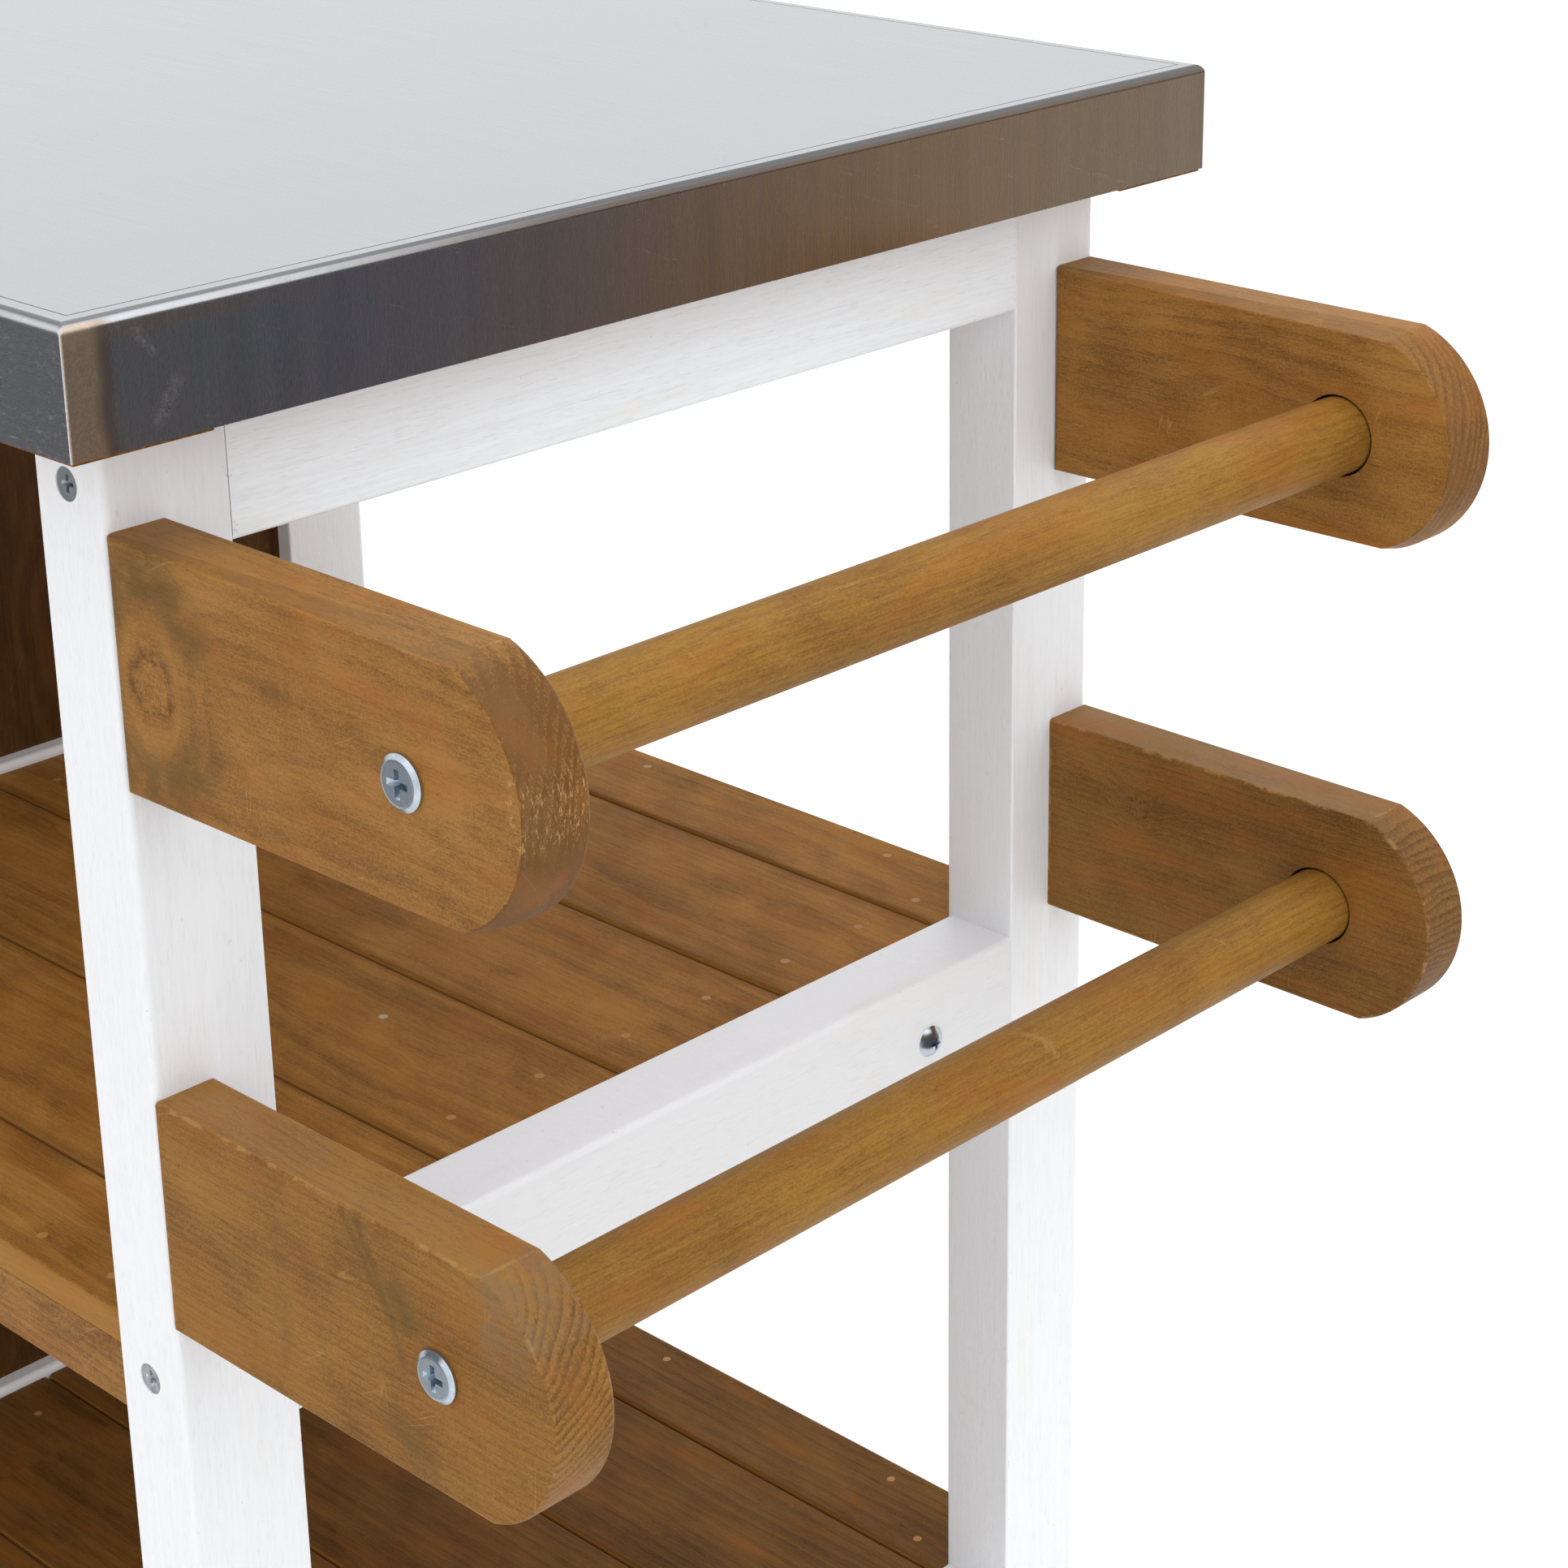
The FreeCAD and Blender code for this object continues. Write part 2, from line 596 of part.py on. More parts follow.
def glides():
    """The plastic glides nailed into the feet of the four legs."""
    outline = [(0, 0), (GLIDE_R - 2, 0), (GLIDE_R, 2), (GLIDE_R, GLIDE_H), (GLIDE_PIN_R, GLIDE_H),
               (GLIDE_PIN_R, GLIDE_H + GLIDE_PIN_L - 2), (0, GLIDE_H + GLIDE_PIN_L)]
    solids = []
    for x in (FRAME_X["left"], FRAME_X["right"]):
        for y in (Y_FRONT, Y_BACK - LEG_Y):
            glide = turned(outline)
            glide.translate(V(x + LEG_X / 2, y + LEG_Y / 2, 0))
            solids.append(glide)
    return solids


def glide_holes():
    radius = GLIDE_PIN_R + HOLE_CLEAR
    spots = [(x, y) for x in (FRAME_X["left"], FRAME_X["right"]) for y in (Y_FRONT, Y_BACK - LEG_Y)]
    return [cylinder(radius, GLIDE_PIN_L + 1, V(x + LEG_X / 2, y + LEG_Y / 2, GLIDE_H - 0.5), V(0, 0, 1))
            for x, y in spots]


def door_box():
    """The door's outer faces."""
    x0, x1 = BAY_X["cabinet"]
    return ((x0 + HINGE_GAP, x1 - DOOR_GAP), (Y_FRONT, Y_FRONT + DOOR_T),
            (LOWER_SHELF_Z + DOOR_FOOT_GAP, LEG_TOP - DOOR_TOP_GAP))


def door_pieces():
    """Two stiles, three rails and two panels let into their grooves."""
    (x0, x1), y, (z0, z1) = door_box()
    w = DOOR_STILE_W
    inner = (x0 + w, x1 - w)
    middle = RAIL_TOP["middle"]
    levels = {"bottom": (z0, z0 + w), "middle": (middle - w, middle), "top": (z1 - w, z1)}
    pieces = {
        "door_hinge_stile": rounded_bar((x0, x0 + w), y, (z0, z1), V(0, 0, 1), DOOR_EDGE_R),
        "door_latch_stile": rounded_bar((x1 - w, x1), y, (z0, z1), V(0, 0, 1), DOOR_EDGE_R),
    }
    for name, z in levels.items():
        pieces[f"door_{name}_rail"] = rounded_bar(inner, y, z, V(1, 0, 0), DOOR_EDGE_R)
    face = y[0] + DOOR_PANEL_RECESS
    bottom, middle, top = levels["bottom"], levels["middle"], levels["top"]
    gaps = {"lower": (bottom[1], middle[0]), "upper": (middle[1], top[0])}

    def panel(gap, reach, slack):
        x = (inner[0] - reach, inner[1] + reach)
        return box(x, (face - slack, face + DOOR_PANEL_T + slack), (gap[0] - reach, gap[1] + reach))

    door_grooves = [panel(gap, GROOVE_D, FIT / 2) for gap in gaps.values()]
    pieces = {name: cut_all(shape, door_grooves) for name, shape in pieces.items()}
    for name, gap in gaps.items():
        pieces[f"door_{name}_panel"] = panel(gap, PANEL_IN_GROOVE, 0)
    return pieces


def hinge_heights():
    z0, z1 = door_box()[2]
    return [z0 + HINGE_INSET, z1 - HINGE_INSET - LEAF_H]


def hinge_axis(z):
    return V(BAY_X["cabinet"][0] + HINGE_GAP / 2, Y_FRONT - KNUCKLE_FRONT, z)


def hinge_leaf(z, on_door):
    """One leaf of a butt hinge, with the knuckles that turn about the pin."""
    foot = hinge_axis(z)
    x_face = BAY_X["cabinet"][0] + (HINGE_GAP - LEAF_T if on_door else 0)
    span = (x_face, x_face + LEAF_T)
    middle = (z + KNUCKLE_SPLIT + KNUCKLE_CLEAR, z + LEAF_H - KNUCKLE_SPLIT - KNUCKLE_CLEAR)
    outer = [(z, z + KNUCKLE_SPLIT), (z + LEAF_H - KNUCKLE_SPLIT, z + LEAF_H)]
    leaf = box(span, (Y_FRONT + 0.6, Y_FRONT + LEAF_W), (z, z + LEAF_H))
    for low, high in [middle] if on_door else outer:
        knuckle = cylinder(KNUCKLE_R, high - low, V(foot.x, foot.y, low), V(0, 0, 1))
        web = box(span, (foot.y, Y_FRONT + 1), (low, high))
        leaf = leaf.fuse([knuckle, web])
    bore = cylinder(PIN_R + PIN_CLEAR, LEAF_H + 2, V(foot.x, foot.y, z - 1), V(0, 0, 1))
    return leaf.cut(bore).removeSplitter()


def hinge_pin(z):
    foot = hinge_axis(z)
    pin = cylinder(PIN_R, LEAF_H + 0.6, V(foot.x, foot.y, z - 0.3), V(0, 0, 1))
    ends = (z - 1.3, z + LEAF_H + 0.3)
    caps = [cylinder(PIN_R + 0.7, 1.0, V(foot.x, foot.y, end), V(0, 0, 1)) for end in ends]
    return pin.fuse(caps).removeSplitter()


def hinge_screw_spots(on_door):
    """Screws through a leaf, into the leg or into the door's stile."""
    x = BAY_X["cabinet"][0] + (HINGE_GAP - LEAF_T if on_door else LEAF_T)
    outward = V(-1 if on_door else 1, 0, 0)
    heights = [z + rise for z in hinge_heights() for rise in (HINGE_SCREW_INSET, LEAF_H - HINGE_SCREW_INSET)]
    return [(V(x, Y_FRONT + HINGE_SCREW_Y, z), outward) for z in heights]


def knob():
    """A turned knob: foot, neck and a flattened round head, axis along Z before it is placed."""
    foot = [(0, 0), (9, 0), (9, 2), (6.5, 5), (6, 9)]
    steps = 12
    head_mid, head_half = 16.0, KNOB_L - 16.0
    start = math.acos(6.5 / KNOB_R)
    head = []
    for i in range(steps + 1):
        a = -start + (start + math.pi / 2) * i / steps
        head.append((KNOB_R * math.cos(a), head_mid + head_half * math.sin(a)))
    head[-1] = (0, KNOB_L)
    return turned(foot + head)


def latch_x():
    return BAY_X["cabinet"][1] - DOOR_GAP - DOOR_STILE_W / 2


def catch_body():
    """The magnetic catch, screwed to the partition's post behind the door."""
    x1 = BAY_X["cabinet"][1]
    y0 = Y_FRONT + DOOR_T + STRIKE_T + CATCH_GAP
    z1 = LEG_TOP - CATCH_DROP
    body = box((x1 - CATCH_W, x1), (y0, y0 + CATCH_D), (z1 - CATCH_H, z1))
    return body.makeFillet(1.5, [e for e in edges_along(body, V(0, 0, 1)) if e.Vertexes[0].X < x1 - 1])


def strike_plate():
    """The steel plate on the back of the latch stile that the catch holds."""
    x1 = BAY_X["cabinet"][1]
    y0 = Y_FRONT + DOOR_T
    z1 = LEG_TOP - CATCH_DROP
    return box((x1 - DOOR_GAP - 1 - STRIKE_W, x1 - DOOR_GAP - 1), (y0, y0 + STRIKE_T), (z1 - CATCH_H, z1))


def small_screw_spots():
    """Catch screws on the post, and the strike's screw on the door."""
    z = LEG_TOP - CATCH_DROP - CATCH_H / 2
    catch_y = Y_FRONT + DOOR_T + STRIKE_T + CATCH_GAP + 0.55 * CATCH_D
    x = BAY_X["cabinet"][1] - CATCH_W
    catch = [(V(x, catch_y, z + rise), V(-1, 0, 0)) for rise in (-CATCH_SCREW_RISE, CATCH_SCREW_RISE)]
    strike_x = BAY_X["cabinet"][1] - DOOR_GAP - 1 - STRIKE_W / 2
    strike = [(V(strike_x, Y_FRONT + DOOR_T + STRIKE_T, z), V(0, 1, 0))]
    return catch, strike


def catch_screw_size():
    """The catch's screws go through its body into the post."""
    head_r, head_h, shank_r, length = SMALL_SCREW
    return head_r, head_h, shank_r, CATCH_W + length - 2


def holes_in_frame():
    """Everything that fasteners, glides and panels take out of the fixed wood."""
    holes = {size: wood_screw_hole(size) for size in (WOOD_SCREW, BATTEN_SCREW)}
    cuts = [placed(holes[size], p, out) for p, out, size in spots_of_frame_screws()]
    cuts += [placed(shelf_bolt_hole(), p, out) for p, out in spots_of_bolts()]
    cuts += glide_holes() + grooves()
    cuts += [placed(wood_screw_hole(catch_screw_size()), p, out) for p, out in small_screw_spots()[0]]
    cuts += [placed(wood_screw_hole(SMALL_SCREW), p, out) for p, out in hinge_screw_spots(False)]
    return cuts


def add_top(parts, holes):
    parts["top_steel_skin"] = [steel_skin()]
    parts["top_core_board"] = [cut_all(core_board(), holes)]
    parts["top_core_battens"] = [cut_all(b, holes) for b in core_battens()]


def add_frames(parts, holes):
    """The three frames: two legs or posts each, three rails, and panels in all but the right one."""
    for side, name in (("left", "leg"), ("partition", "post"), ("right", "leg")):
        foot = GLIDE_H if name == "leg" else RAIL_TOP["bottom"] - RAIL_H
        for face, y in (("front", Y_FRONT), ("back", Y_BACK - LEG_Y)):
            label = f"leg_{face}_{side}" if name == "leg" else f"post_{face}_partition"
            parts[label] = [cut_all(upright(FRAME_X[side], y, foot), holes)]
        levels = {"top": (TOP_RAIL_Z, SKIRT_Z)}
        for level in ("middle", "bottom"):
            levels[level] = (RAIL_TOP[level] - RAIL_H, RAIL_TOP[level])
        for level, (z0, z1) in levels.items():
            parts[f"{side}_{level}_rail"] = [cut_all(rail(FRAME_X[side], z0, z1), holes)]
    for which in ("upper", "lower"):
        parts[f"partition_panel_{which}"] = [side_panel("partition", which, PANEL_IN_GROOVE)]
    parts["left_end_panels"] = [side_panel("left", w, PANEL_IN_GROOVE) for w in ("upper", "lower")]
    parts["cabinet_back_panel"] = [back_panel(PANEL_IN_GROOVE)]


def add_bars(parts, holes):
    bars, screws = brackets_and_bars()
    for name, shape in bars.items():
        parts[name] = [cut_all(shape, holes)]
    parts["bar_end_screws"] = screws


def add_shelves(parts, holes):
    """The boards of four shelves, what they lie on, and their nails."""
    nails, under, across = [], [], []
    for bay in ("open", "cabinet"):
        for level in ("middle", "bottom"):
            spots = spots_of_nails(bay, level)
            nail_holes = [placed(nail(HOLE_CLEAR), p, V(0, 0, 1)) for p in spots]
            nails += [placed(nail(), p, V(0, 0, 1)) for p in spots]
            boards = shelf_boards(bay, level, nail_holes)
            if bay == "open" and level == "middle":
                for i, board in enumerate(boards):
                    parts[f"upper_shelf_board_{i + 1}"] = [board]
            else:
                label = {"open": "lower_shelf_boards", "cabinet": f"cabinet_{level}_boards"}[bay]
                parts[label] = boards
            under += [cut_all(b, nail_holes) for b in bearers(bay, level)]
            across += [cut_all(b, nail_holes + holes) for b in cross_battens(bay, level)]
    parts["shelf_bearers"] = under
    parts["shelf_cross_battens"] = across
    parts["shelf_nails"] = nails


def add_door(parts, holes):
    """The door with its knob and strike plate, the hinges, the catch and their screws."""
    catch_spots, strike_spots = small_screw_spots()
    small = wood_screw(SMALL_SCREW)
    knob_at = V(latch_x(), Y_FRONT, 0.5 * (UPPER_SHELF_Z + LEG_TOP))
    screw_at = V(knob_at.x, Y_FRONT + DOOR_T - SCREW_SINK, knob_at.z)
    knob_hole = placed(wood_screw_hole(KNOB_SCREW), screw_at, V(0, 1, 0))
    door_spots = hinge_screw_spots(True) + strike_spots
    door_holes = [placed(wood_screw_hole(SMALL_SCREW), p, out) for p, out in door_spots] + [knob_hole]
    for name, shape in door_pieces().items():
        parts[name] = [cut_all(shape, door_holes)]
    parts["door_knob"] = [placed(knob(), knob_at, V(0, -1, 0)).cut(knob_hole)]
    parts["catch_strike_plate"] = [cut_all(strike_plate(), door_holes)]
    parts["door_screws"] = [placed(small, p, out) for p, out in door_spots]
    parts["door_screws"].append(placed(wood_screw(KNOB_SCREW), screw_at, V(0, 1, 0)))
    for on_door, name in ((True, "hinge_door_leaves"), (False, "hinge_frame_leaves")):
        own = door_holes if on_door else holes
        parts[name] = [cut_all(hinge_leaf(z, on_door), own) for z in hinge_heights()]
    parts["hinge_pins"] = [hinge_pin(z) for z in hinge_heights()]
    parts["magnetic_catch"] = [cut_all(catch_body(), holes)]
    catch_screw = wood_screw(catch_screw_size())
    screws = [placed(small, p, out) for p, out in hinge_screw_spots(False)]
    parts["cabinet_hardware_screws"] = screws + [placed(catch_screw, p, out) for p, out in catch_spots]


def add_fasteners(parts):
    screws = {size: wood_screw(size) for size in (WOOD_SCREW, BATTEN_SCREW)}
    parts["frame_screws"] = [placed(screws[size], p, out) for p, out, size in spots_of_frame_screws()]
    parts["shelf_bolts"] = [placed(shelf_bolt(), p, out) for p, out in spots_of_bolts()]
    parts["foot_glides"] = glides()


def main():
    parts = {}
    holes = holes_in_frame()
    add_top(parts, holes)
    add_frames(parts, holes)
    add_bars(parts, holes)
    add_shelves(parts, holes)
    add_door(parts, holes)
    add_fasteners(parts)

    os.makedirs("parts", exist_ok=True)
    for name, solids in parts.items():
        shape = solids[0] if len(solids) == 1 else Part.makeCompound(solids)
        shape.exportStep(f"parts/{name}.step")
        print(name, len(shape.Solids), round(shape.Volume), shape.isValid())
    print(len(parts), "nodes")


main()
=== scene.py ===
"""Looks for the steel-topped kitchen table: materials, floor, light and camera round the CAD frame.

Object coordinates are the frame's, in metres. Material code works in millimetres, so a number that
multiplies a place in a noise is features per millimetre along that axis.
"""

import bpy
from mathutils import Matrix, Vector


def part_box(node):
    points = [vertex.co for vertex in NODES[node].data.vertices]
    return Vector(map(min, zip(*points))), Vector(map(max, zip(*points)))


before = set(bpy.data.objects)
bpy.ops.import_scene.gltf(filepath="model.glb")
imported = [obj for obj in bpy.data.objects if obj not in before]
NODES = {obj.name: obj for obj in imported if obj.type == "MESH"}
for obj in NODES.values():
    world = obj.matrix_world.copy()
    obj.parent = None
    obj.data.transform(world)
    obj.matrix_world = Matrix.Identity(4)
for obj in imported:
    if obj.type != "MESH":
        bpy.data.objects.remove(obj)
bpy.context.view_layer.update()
MM = 1000.0

# Linear colours
STAIN_LIGHT = (0.325, 0.152, 0.032)
STAIN_DARK = (0.130, 0.053, 0.008)
STAIN_RED = (0.300, 0.095, 0.012)
STAIN_GREY = (0.185, 0.120, 0.062)
STAIN_VIOLET = (0.165, 0.086, 0.030)
STAIN_OLIVE = (0.105, 0.060, 0.012)
LIT_TOP_TONE = (0.360, 0.245, 0.140)
BARE_TAN = (0.560, 0.340, 0.140)
DOWEL_LIGHT = (0.305, 0.155, 0.026)
DOWEL_DARK = (0.150, 0.062, 0.008)
BOARD_LIGHT = (0.400, 0.186, 0.042)
BOARD_DARK = (0.150, 0.064, 0.013)
BOARD_FLECK = (0.600, 0.550, 0.480)
PANEL_LIGHT = (0.100, 0.042, 0.008)
PANEL_DARK = (0.045, 0.017, 0.003)
FILLER = (0.400, 0.225, 0.100)
PAINT = (0.775, 0.790, 0.815)
PAINT_LIT_RAIL = (0.840, 0.880, 0.920)
PAINT_LIT_TOP = (0.880, 0.910, 0.960)
PAINT_SHADE = (0.690, 0.695, 0.705)
PAINT_STAIN = (0.760, 0.725, 0.640)
PAINT_CHIP = (0.420, 0.360, 0.290)
PAINT_SPECK = (0.450, 0.430, 0.400)
STEEL = (0.560, 0.575, 0.600)
STEEL_SHADE = (0.360, 0.370, 0.390)
STEEL_BROWN = (0.700, 0.550, 0.400)
STEEL_DULL = (0.430, 0.340, 0.265)
STEEL_RIM = (0.330, 0.215, 0.120)
STEEL_FOLD = (0.070, 0.073, 0.080)
STEEL_FOLD_BROWN = (0.125, 0.092, 0.066)
STEEL_RUBBED = (0.850, 0.860, 0.880)
SCRIBED = (0.160, 0.165, 0.170)
ZINC = (0.560, 0.630, 0.700)
ZINC_SHADE = (0.250, 0.290, 0.340)
SCREW_GREY = (0.470, 0.520, 0.550)
GLIDE_BLACK = (0.030, 0.030, 0.032)
GLIDE_SHADE = (0.015, 0.015, 0.016)
CATCH_WHITE = (0.720, 0.710, 0.680)
CATCH_SHADE = (0.550, 0.540, 0.500)
FLOOR_PALE = (0.940, 0.940, 0.940)
FLOOR_CLOUD = (0.950, 0.950, 0.950)
WHITE = (1.0, 1.0, 1.0)

# Sizes of the CAD frame that the materials follow, in mm
BOARD_PITCH = 77.0
SHELF_SHIFT = 1.5
NOSE_DEPTH = 26.0
LEVEL_HEIGHT = 150.0
SHELF_BOARDS = 6
PAINTED_SCREWS_BELOW = 600.0

# How far apart, in mm, the boards of one node are in the tree that they are cut from
BOARD_SLIDE = 900.0
PITH_SPREAD = 50.0

# Steps that keep the cell numbers of columns and levels apart
COLUMN_STEP = 17.0
LEVEL_STEP = 5.0

# Studio, in metres and watts
WORLD_GLOW = 1.16
FLOOR_HALF = 12.0
LIGHTS = (
    # name, place, target, size, power
    ("key", (0.4, -2.6, 2.4), (0.1, 0.0, 0.5), (2.4, 1.8), 5.0),
    ("overhead", (0.0, 0.3, 3.0), (0.0, 0.0, 0.0), (3.0, 3.0), 15.0),
    ("side", (2.1, 0.1, 2.3), (0.3, 0.0, 0.5), (1.8, 1.8), 10.0),
)
CARD_RISE = (0.0, 0.0, 1.35)
# Glowing cards that show only in glossy reflections; their tones paint the reflections on the
# steel's end and front
CARDS = (
    # name, lower corner, run, and the tones along the run
    ("end_card", (0.85, -0.45, -0.4), (0.0, 1.75, 0.0), (
        (0.308, (0.110, 0.106, 0.100)),
        (0.360, (0.042, 0.062, 0.092)),
        (0.399, (0.055, 0.096, 0.175)),
        (0.456, (0.105, 0.095, 0.098)),
        (0.519, (0.265, 0.112, 0.020)),
        (0.586, (0.365, 0.218, 0.088)),
        (0.717, (0.298, 0.214, 0.140)),
    )),
    ("front_card", (-1.2, -0.7, -0.4), (1.55, 0.0, 0.0), (
        (0.0, (0.155, 0.150, 0.160)),
        (1.0, (0.125, 0.122, 0.130)),
    )),
)

# Camera
CAMERA_PLACE = (1.04815, -0.65387, 1.04255)
CAMERA_RIGHT = (0.73436, 0.67873, -0.00638)
CAMERA_FORWARD = (-0.64007, 0.68933, -0.33932)
CAMERA_LENS = 75.846
CAMERA_SENSOR = 36.0
CAMERA_SHIFT = (-0.06, -0.11)
CAMERA_NEAR = 0.02


class Signal:
    """A value on its way through a node tree. Arithmetic on it adds Math nodes."""

    def __init__(self, tree, socket):
        self.tree = tree
        self.socket = socket

    def math(self, operation, *others):
        node = self.tree.node("Math", operation=operation)
        for socket, value in zip(node.inputs, (self, *others)):
            self.tree.feed(socket, value)
        return Signal(self.tree, node.outputs[0])

    def __add__(self, other):
        return self.math("ADD", other)

    def __sub__(self, other):
        return self.math("SUBTRACT", other)

    def __rsub__(self, other):
        return (self * -1.0) + other

    def __mul__(self, other):
        return self.math("MULTIPLY", other)

    def __truediv__(self, other):
        return self.math("DIVIDE", other)

    def abs(self):
        return self.math("ABSOLUTE")

    def floor(self):
        return self.math("FLOOR")

    def fract(self):
        return self.math("FRACT")

    def sqrt(self):
        return self.math("SQRT")

    def least(self, other):
        return self.math("MINIMUM", other)

    def most(self, other):
        return self.math("MAXIMUM", other)

    def step(self, low, high):
        """0 below low, 1 above high, smooth between; falls instead if low is the larger number."""
        node = self.tree.node("MapRange", interpolation_type="SMOOTHSTEP")
        down = not isinstance(low, Signal) and not isinstance(high, Signal) and low > high
        ends = (high, low, 1.0, 0.0) if down else (low, high, 0.0, 1.0)
        for socket, value in zip(node.inputs, (self, *ends)):
            self.tree.feed(socket, value)
        return Signal(self.tree, node.outputs[0])


class Tree:
    """One material's node tree, with short ways to add its nodes."""

    def __init__(self, name):
        self.material = bpy.data.materials.new(name)
        self.material.use_nodes = True
        self.tree = self.material.node_tree
        self.tree.nodes.clear()

    def node(self, kind, **settings):
        node = self.tree.nodes.new("ShaderNode" + kind)
        for key, value in settings.items():
            setattr(node, key, value)
        return node

    def link(self, output, socket):
        self.tree.links.new(output, socket)

    def feed(self, socket, value):
        if isinstance(value, Signal):
            self.link(value.socket, socket)
        elif isinstance(value, tuple) and len(value) == 3 and socket.type == "RGBA":
            socket.default_value = (*value, 1.0)
        else:
            socket.default_value = value

    def coordinates(self, kind):
        """The three numbers of one of the texture coordinates."""
        split = self.node("SeparateXYZ")
        self.link(self.node("TexCoord").outputs[kind], split.inputs[0])
        return [Signal(self, socket) for socket in split.outputs]

    def place(self):
        """x, y and z of the shaded point in the part's own frame, in millimetres."""
        return [number * MM for number in self.coordinates("Object")]

    def facing(self):
        """The size of the surface normal's x, y and z in the part's own frame."""
        return [number.abs() for number in self.coordinates("Normal")]

    def vector(self, *values):
        node = self.node("CombineXYZ")
        for socket, value in zip(node.inputs, values):
            self.feed(socket, value)
        return Signal(self, node.outputs[0])

    def noise(self, *place, detail=2.0, rough=0.5):
        """Noise from 0 to 1 with features about one unit of place across."""
        node = self.node("TexNoise")
        self.feed(node.inputs["Vector"], self.vector(*place))
        node.inputs["Scale"].default_value = 1.0
        node.inputs["Detail"].default_value = detail
        node.inputs["Roughness"].default_value = rough
        return Signal(self, node.outputs[0])

    def random(self, *place):
        """One random number from 0 to 1 for each place."""
        node = self.node("TexWhiteNoise")
        self.feed(node.inputs["Vector"], self.vector(*place))
        return Signal(self, node.outputs["Value"])

    def mix(self, share, first, second):
        node = self.node("Mix", data_type="RGBA", blend_type="MIX", clamp_factor=True)
        self.feed(node.inputs[0], share)
        self.feed(node.inputs[6], first)
        self.feed(node.inputs[7], second)
        return Signal(self, node.outputs[2])

    def finish(self, color, rough, height=None, tangent=None, **constants):
        """The shader: height is in millimetres and constants go on its own sockets."""
        shader = self.node("BsdfPrincipled")
        self.feed(shader.inputs["Base Color"], color)
        self.feed(shader.inputs["Roughness"], rough)
        for key, value in constants.items():
            shader.inputs[key.replace("_", " ")].default_value = value
        if height is not None:
            relief = self.node("Bump")
            relief.inputs["Strength"].default_value = 1.0
            relief.inputs["Distance"].default_value = 1 / MM
            self.feed(relief.inputs["Height"], height)
            self.link(relief.outputs[0], shader.inputs["Normal"])
        if tangent is not None:
            self.feed(shader.inputs["Tangent"], tangent)
        return self.output(shader)

    def output(self, shader):
        self.link(shader.outputs[0], self.node("OutputMaterial").inputs[0])
        return self.material


def box_mm(node):
    low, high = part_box(node)
    return [a * MM for a in low], [a * MM for a in high]


def shades(tones, share):
    """Each tone times share, which is a number or one number for each of red, green and blue."""
    red, green, blue = share if isinstance(share, tuple) else (share,) * 3
    return [(r * red, g * green, b * blue) for r, g, b in tones]


def hypot(a, b):
    return (a * a + b * b).sqrt()


def median(a, b, c):
    return a.least(b).most(a.most(b).least(c))


def turned(place, axis):
    """The place along an axis, then across it."""
    x, y, z = place
    return {"x": (x, y, z), "y": (y, z, x), "z": (z, x, y)}[axis]


def block_edge(place, low, high):
    """How far, in mm, a point on a block's surface is from the block's nearest edge."""
    gaps = [(p - low[i]).least((p * -1.0) + high[i]) for i, p in enumerate(place)]
    return median(*gaps)


def stroke(place, start, end, width):
    """1 on the line from start to end, in the two axes given, fading to 0 at width from it."""
    a, b = place
    run = (end[0] - start[0], end[1] - start[1])
    length = run[0] ** 2 + run[1] ** 2
    along = (a - start[0]) * (run[0] / length) + (b - start[1]) * (run[1] / length)
    along = along.most(0.0).least(1.0)
    gap = hypot(a - (along * run[0] + start[0]), b - (along * run[1] + start[1]))
    return gap.step(width, 0.0)


def scratches(tree, a, b, seed, width=0.012, density=0.62):
    """Sparse thin wandering lines that run mostly along a."""
    line = tree.noise(a * 0.012 + seed, b * 0.16, seed * 1.7, detail=1.0)
    thin = (line - 0.5).abs().step(width, 0.0)
    patch = tree.noise(a * 0.05 + seed * 3.1, b * 0.09, seed, detail=1.0)
    return thin * patch.step(density, density + 0.08)


def knot(tree, place, centre, across, size, shift):
    """How far a knot pushes the rings aside, and how dark its soft rim and speckled middle are."""
    spread = [p - c for p, c, name in zip(place, centre, "xyz") if name != across]
    lumpy = tree.noise(spread[0] * 0.12 + shift, spread[1] * 0.12, 2.0) - 0.5
    distance = hypot(*spread) + lumpy * size * 0.9
    push = distance.step(size * 4.0, size * 0.2) * size * 1.5
    inside = distance.step(size * 1.15, size * 0.80)
    crumbs = tree.noise(spread[0] * 1.1, spread[1] * 0.8, shift, detail=3.0, rough=0.7)
    ragged = tree.noise(spread[0] * 0.35, spread[1] * 0.35, shift + 5.0, detail=2.0)
    rim = (distance - size).abs().step(size * 0.34, 0.0) * ragged.step(0.35, 0.62)
    shade = inside * ((crumbs - 0.5) * 2.0 - 0.02) + rim * 0.45
    return push, shade


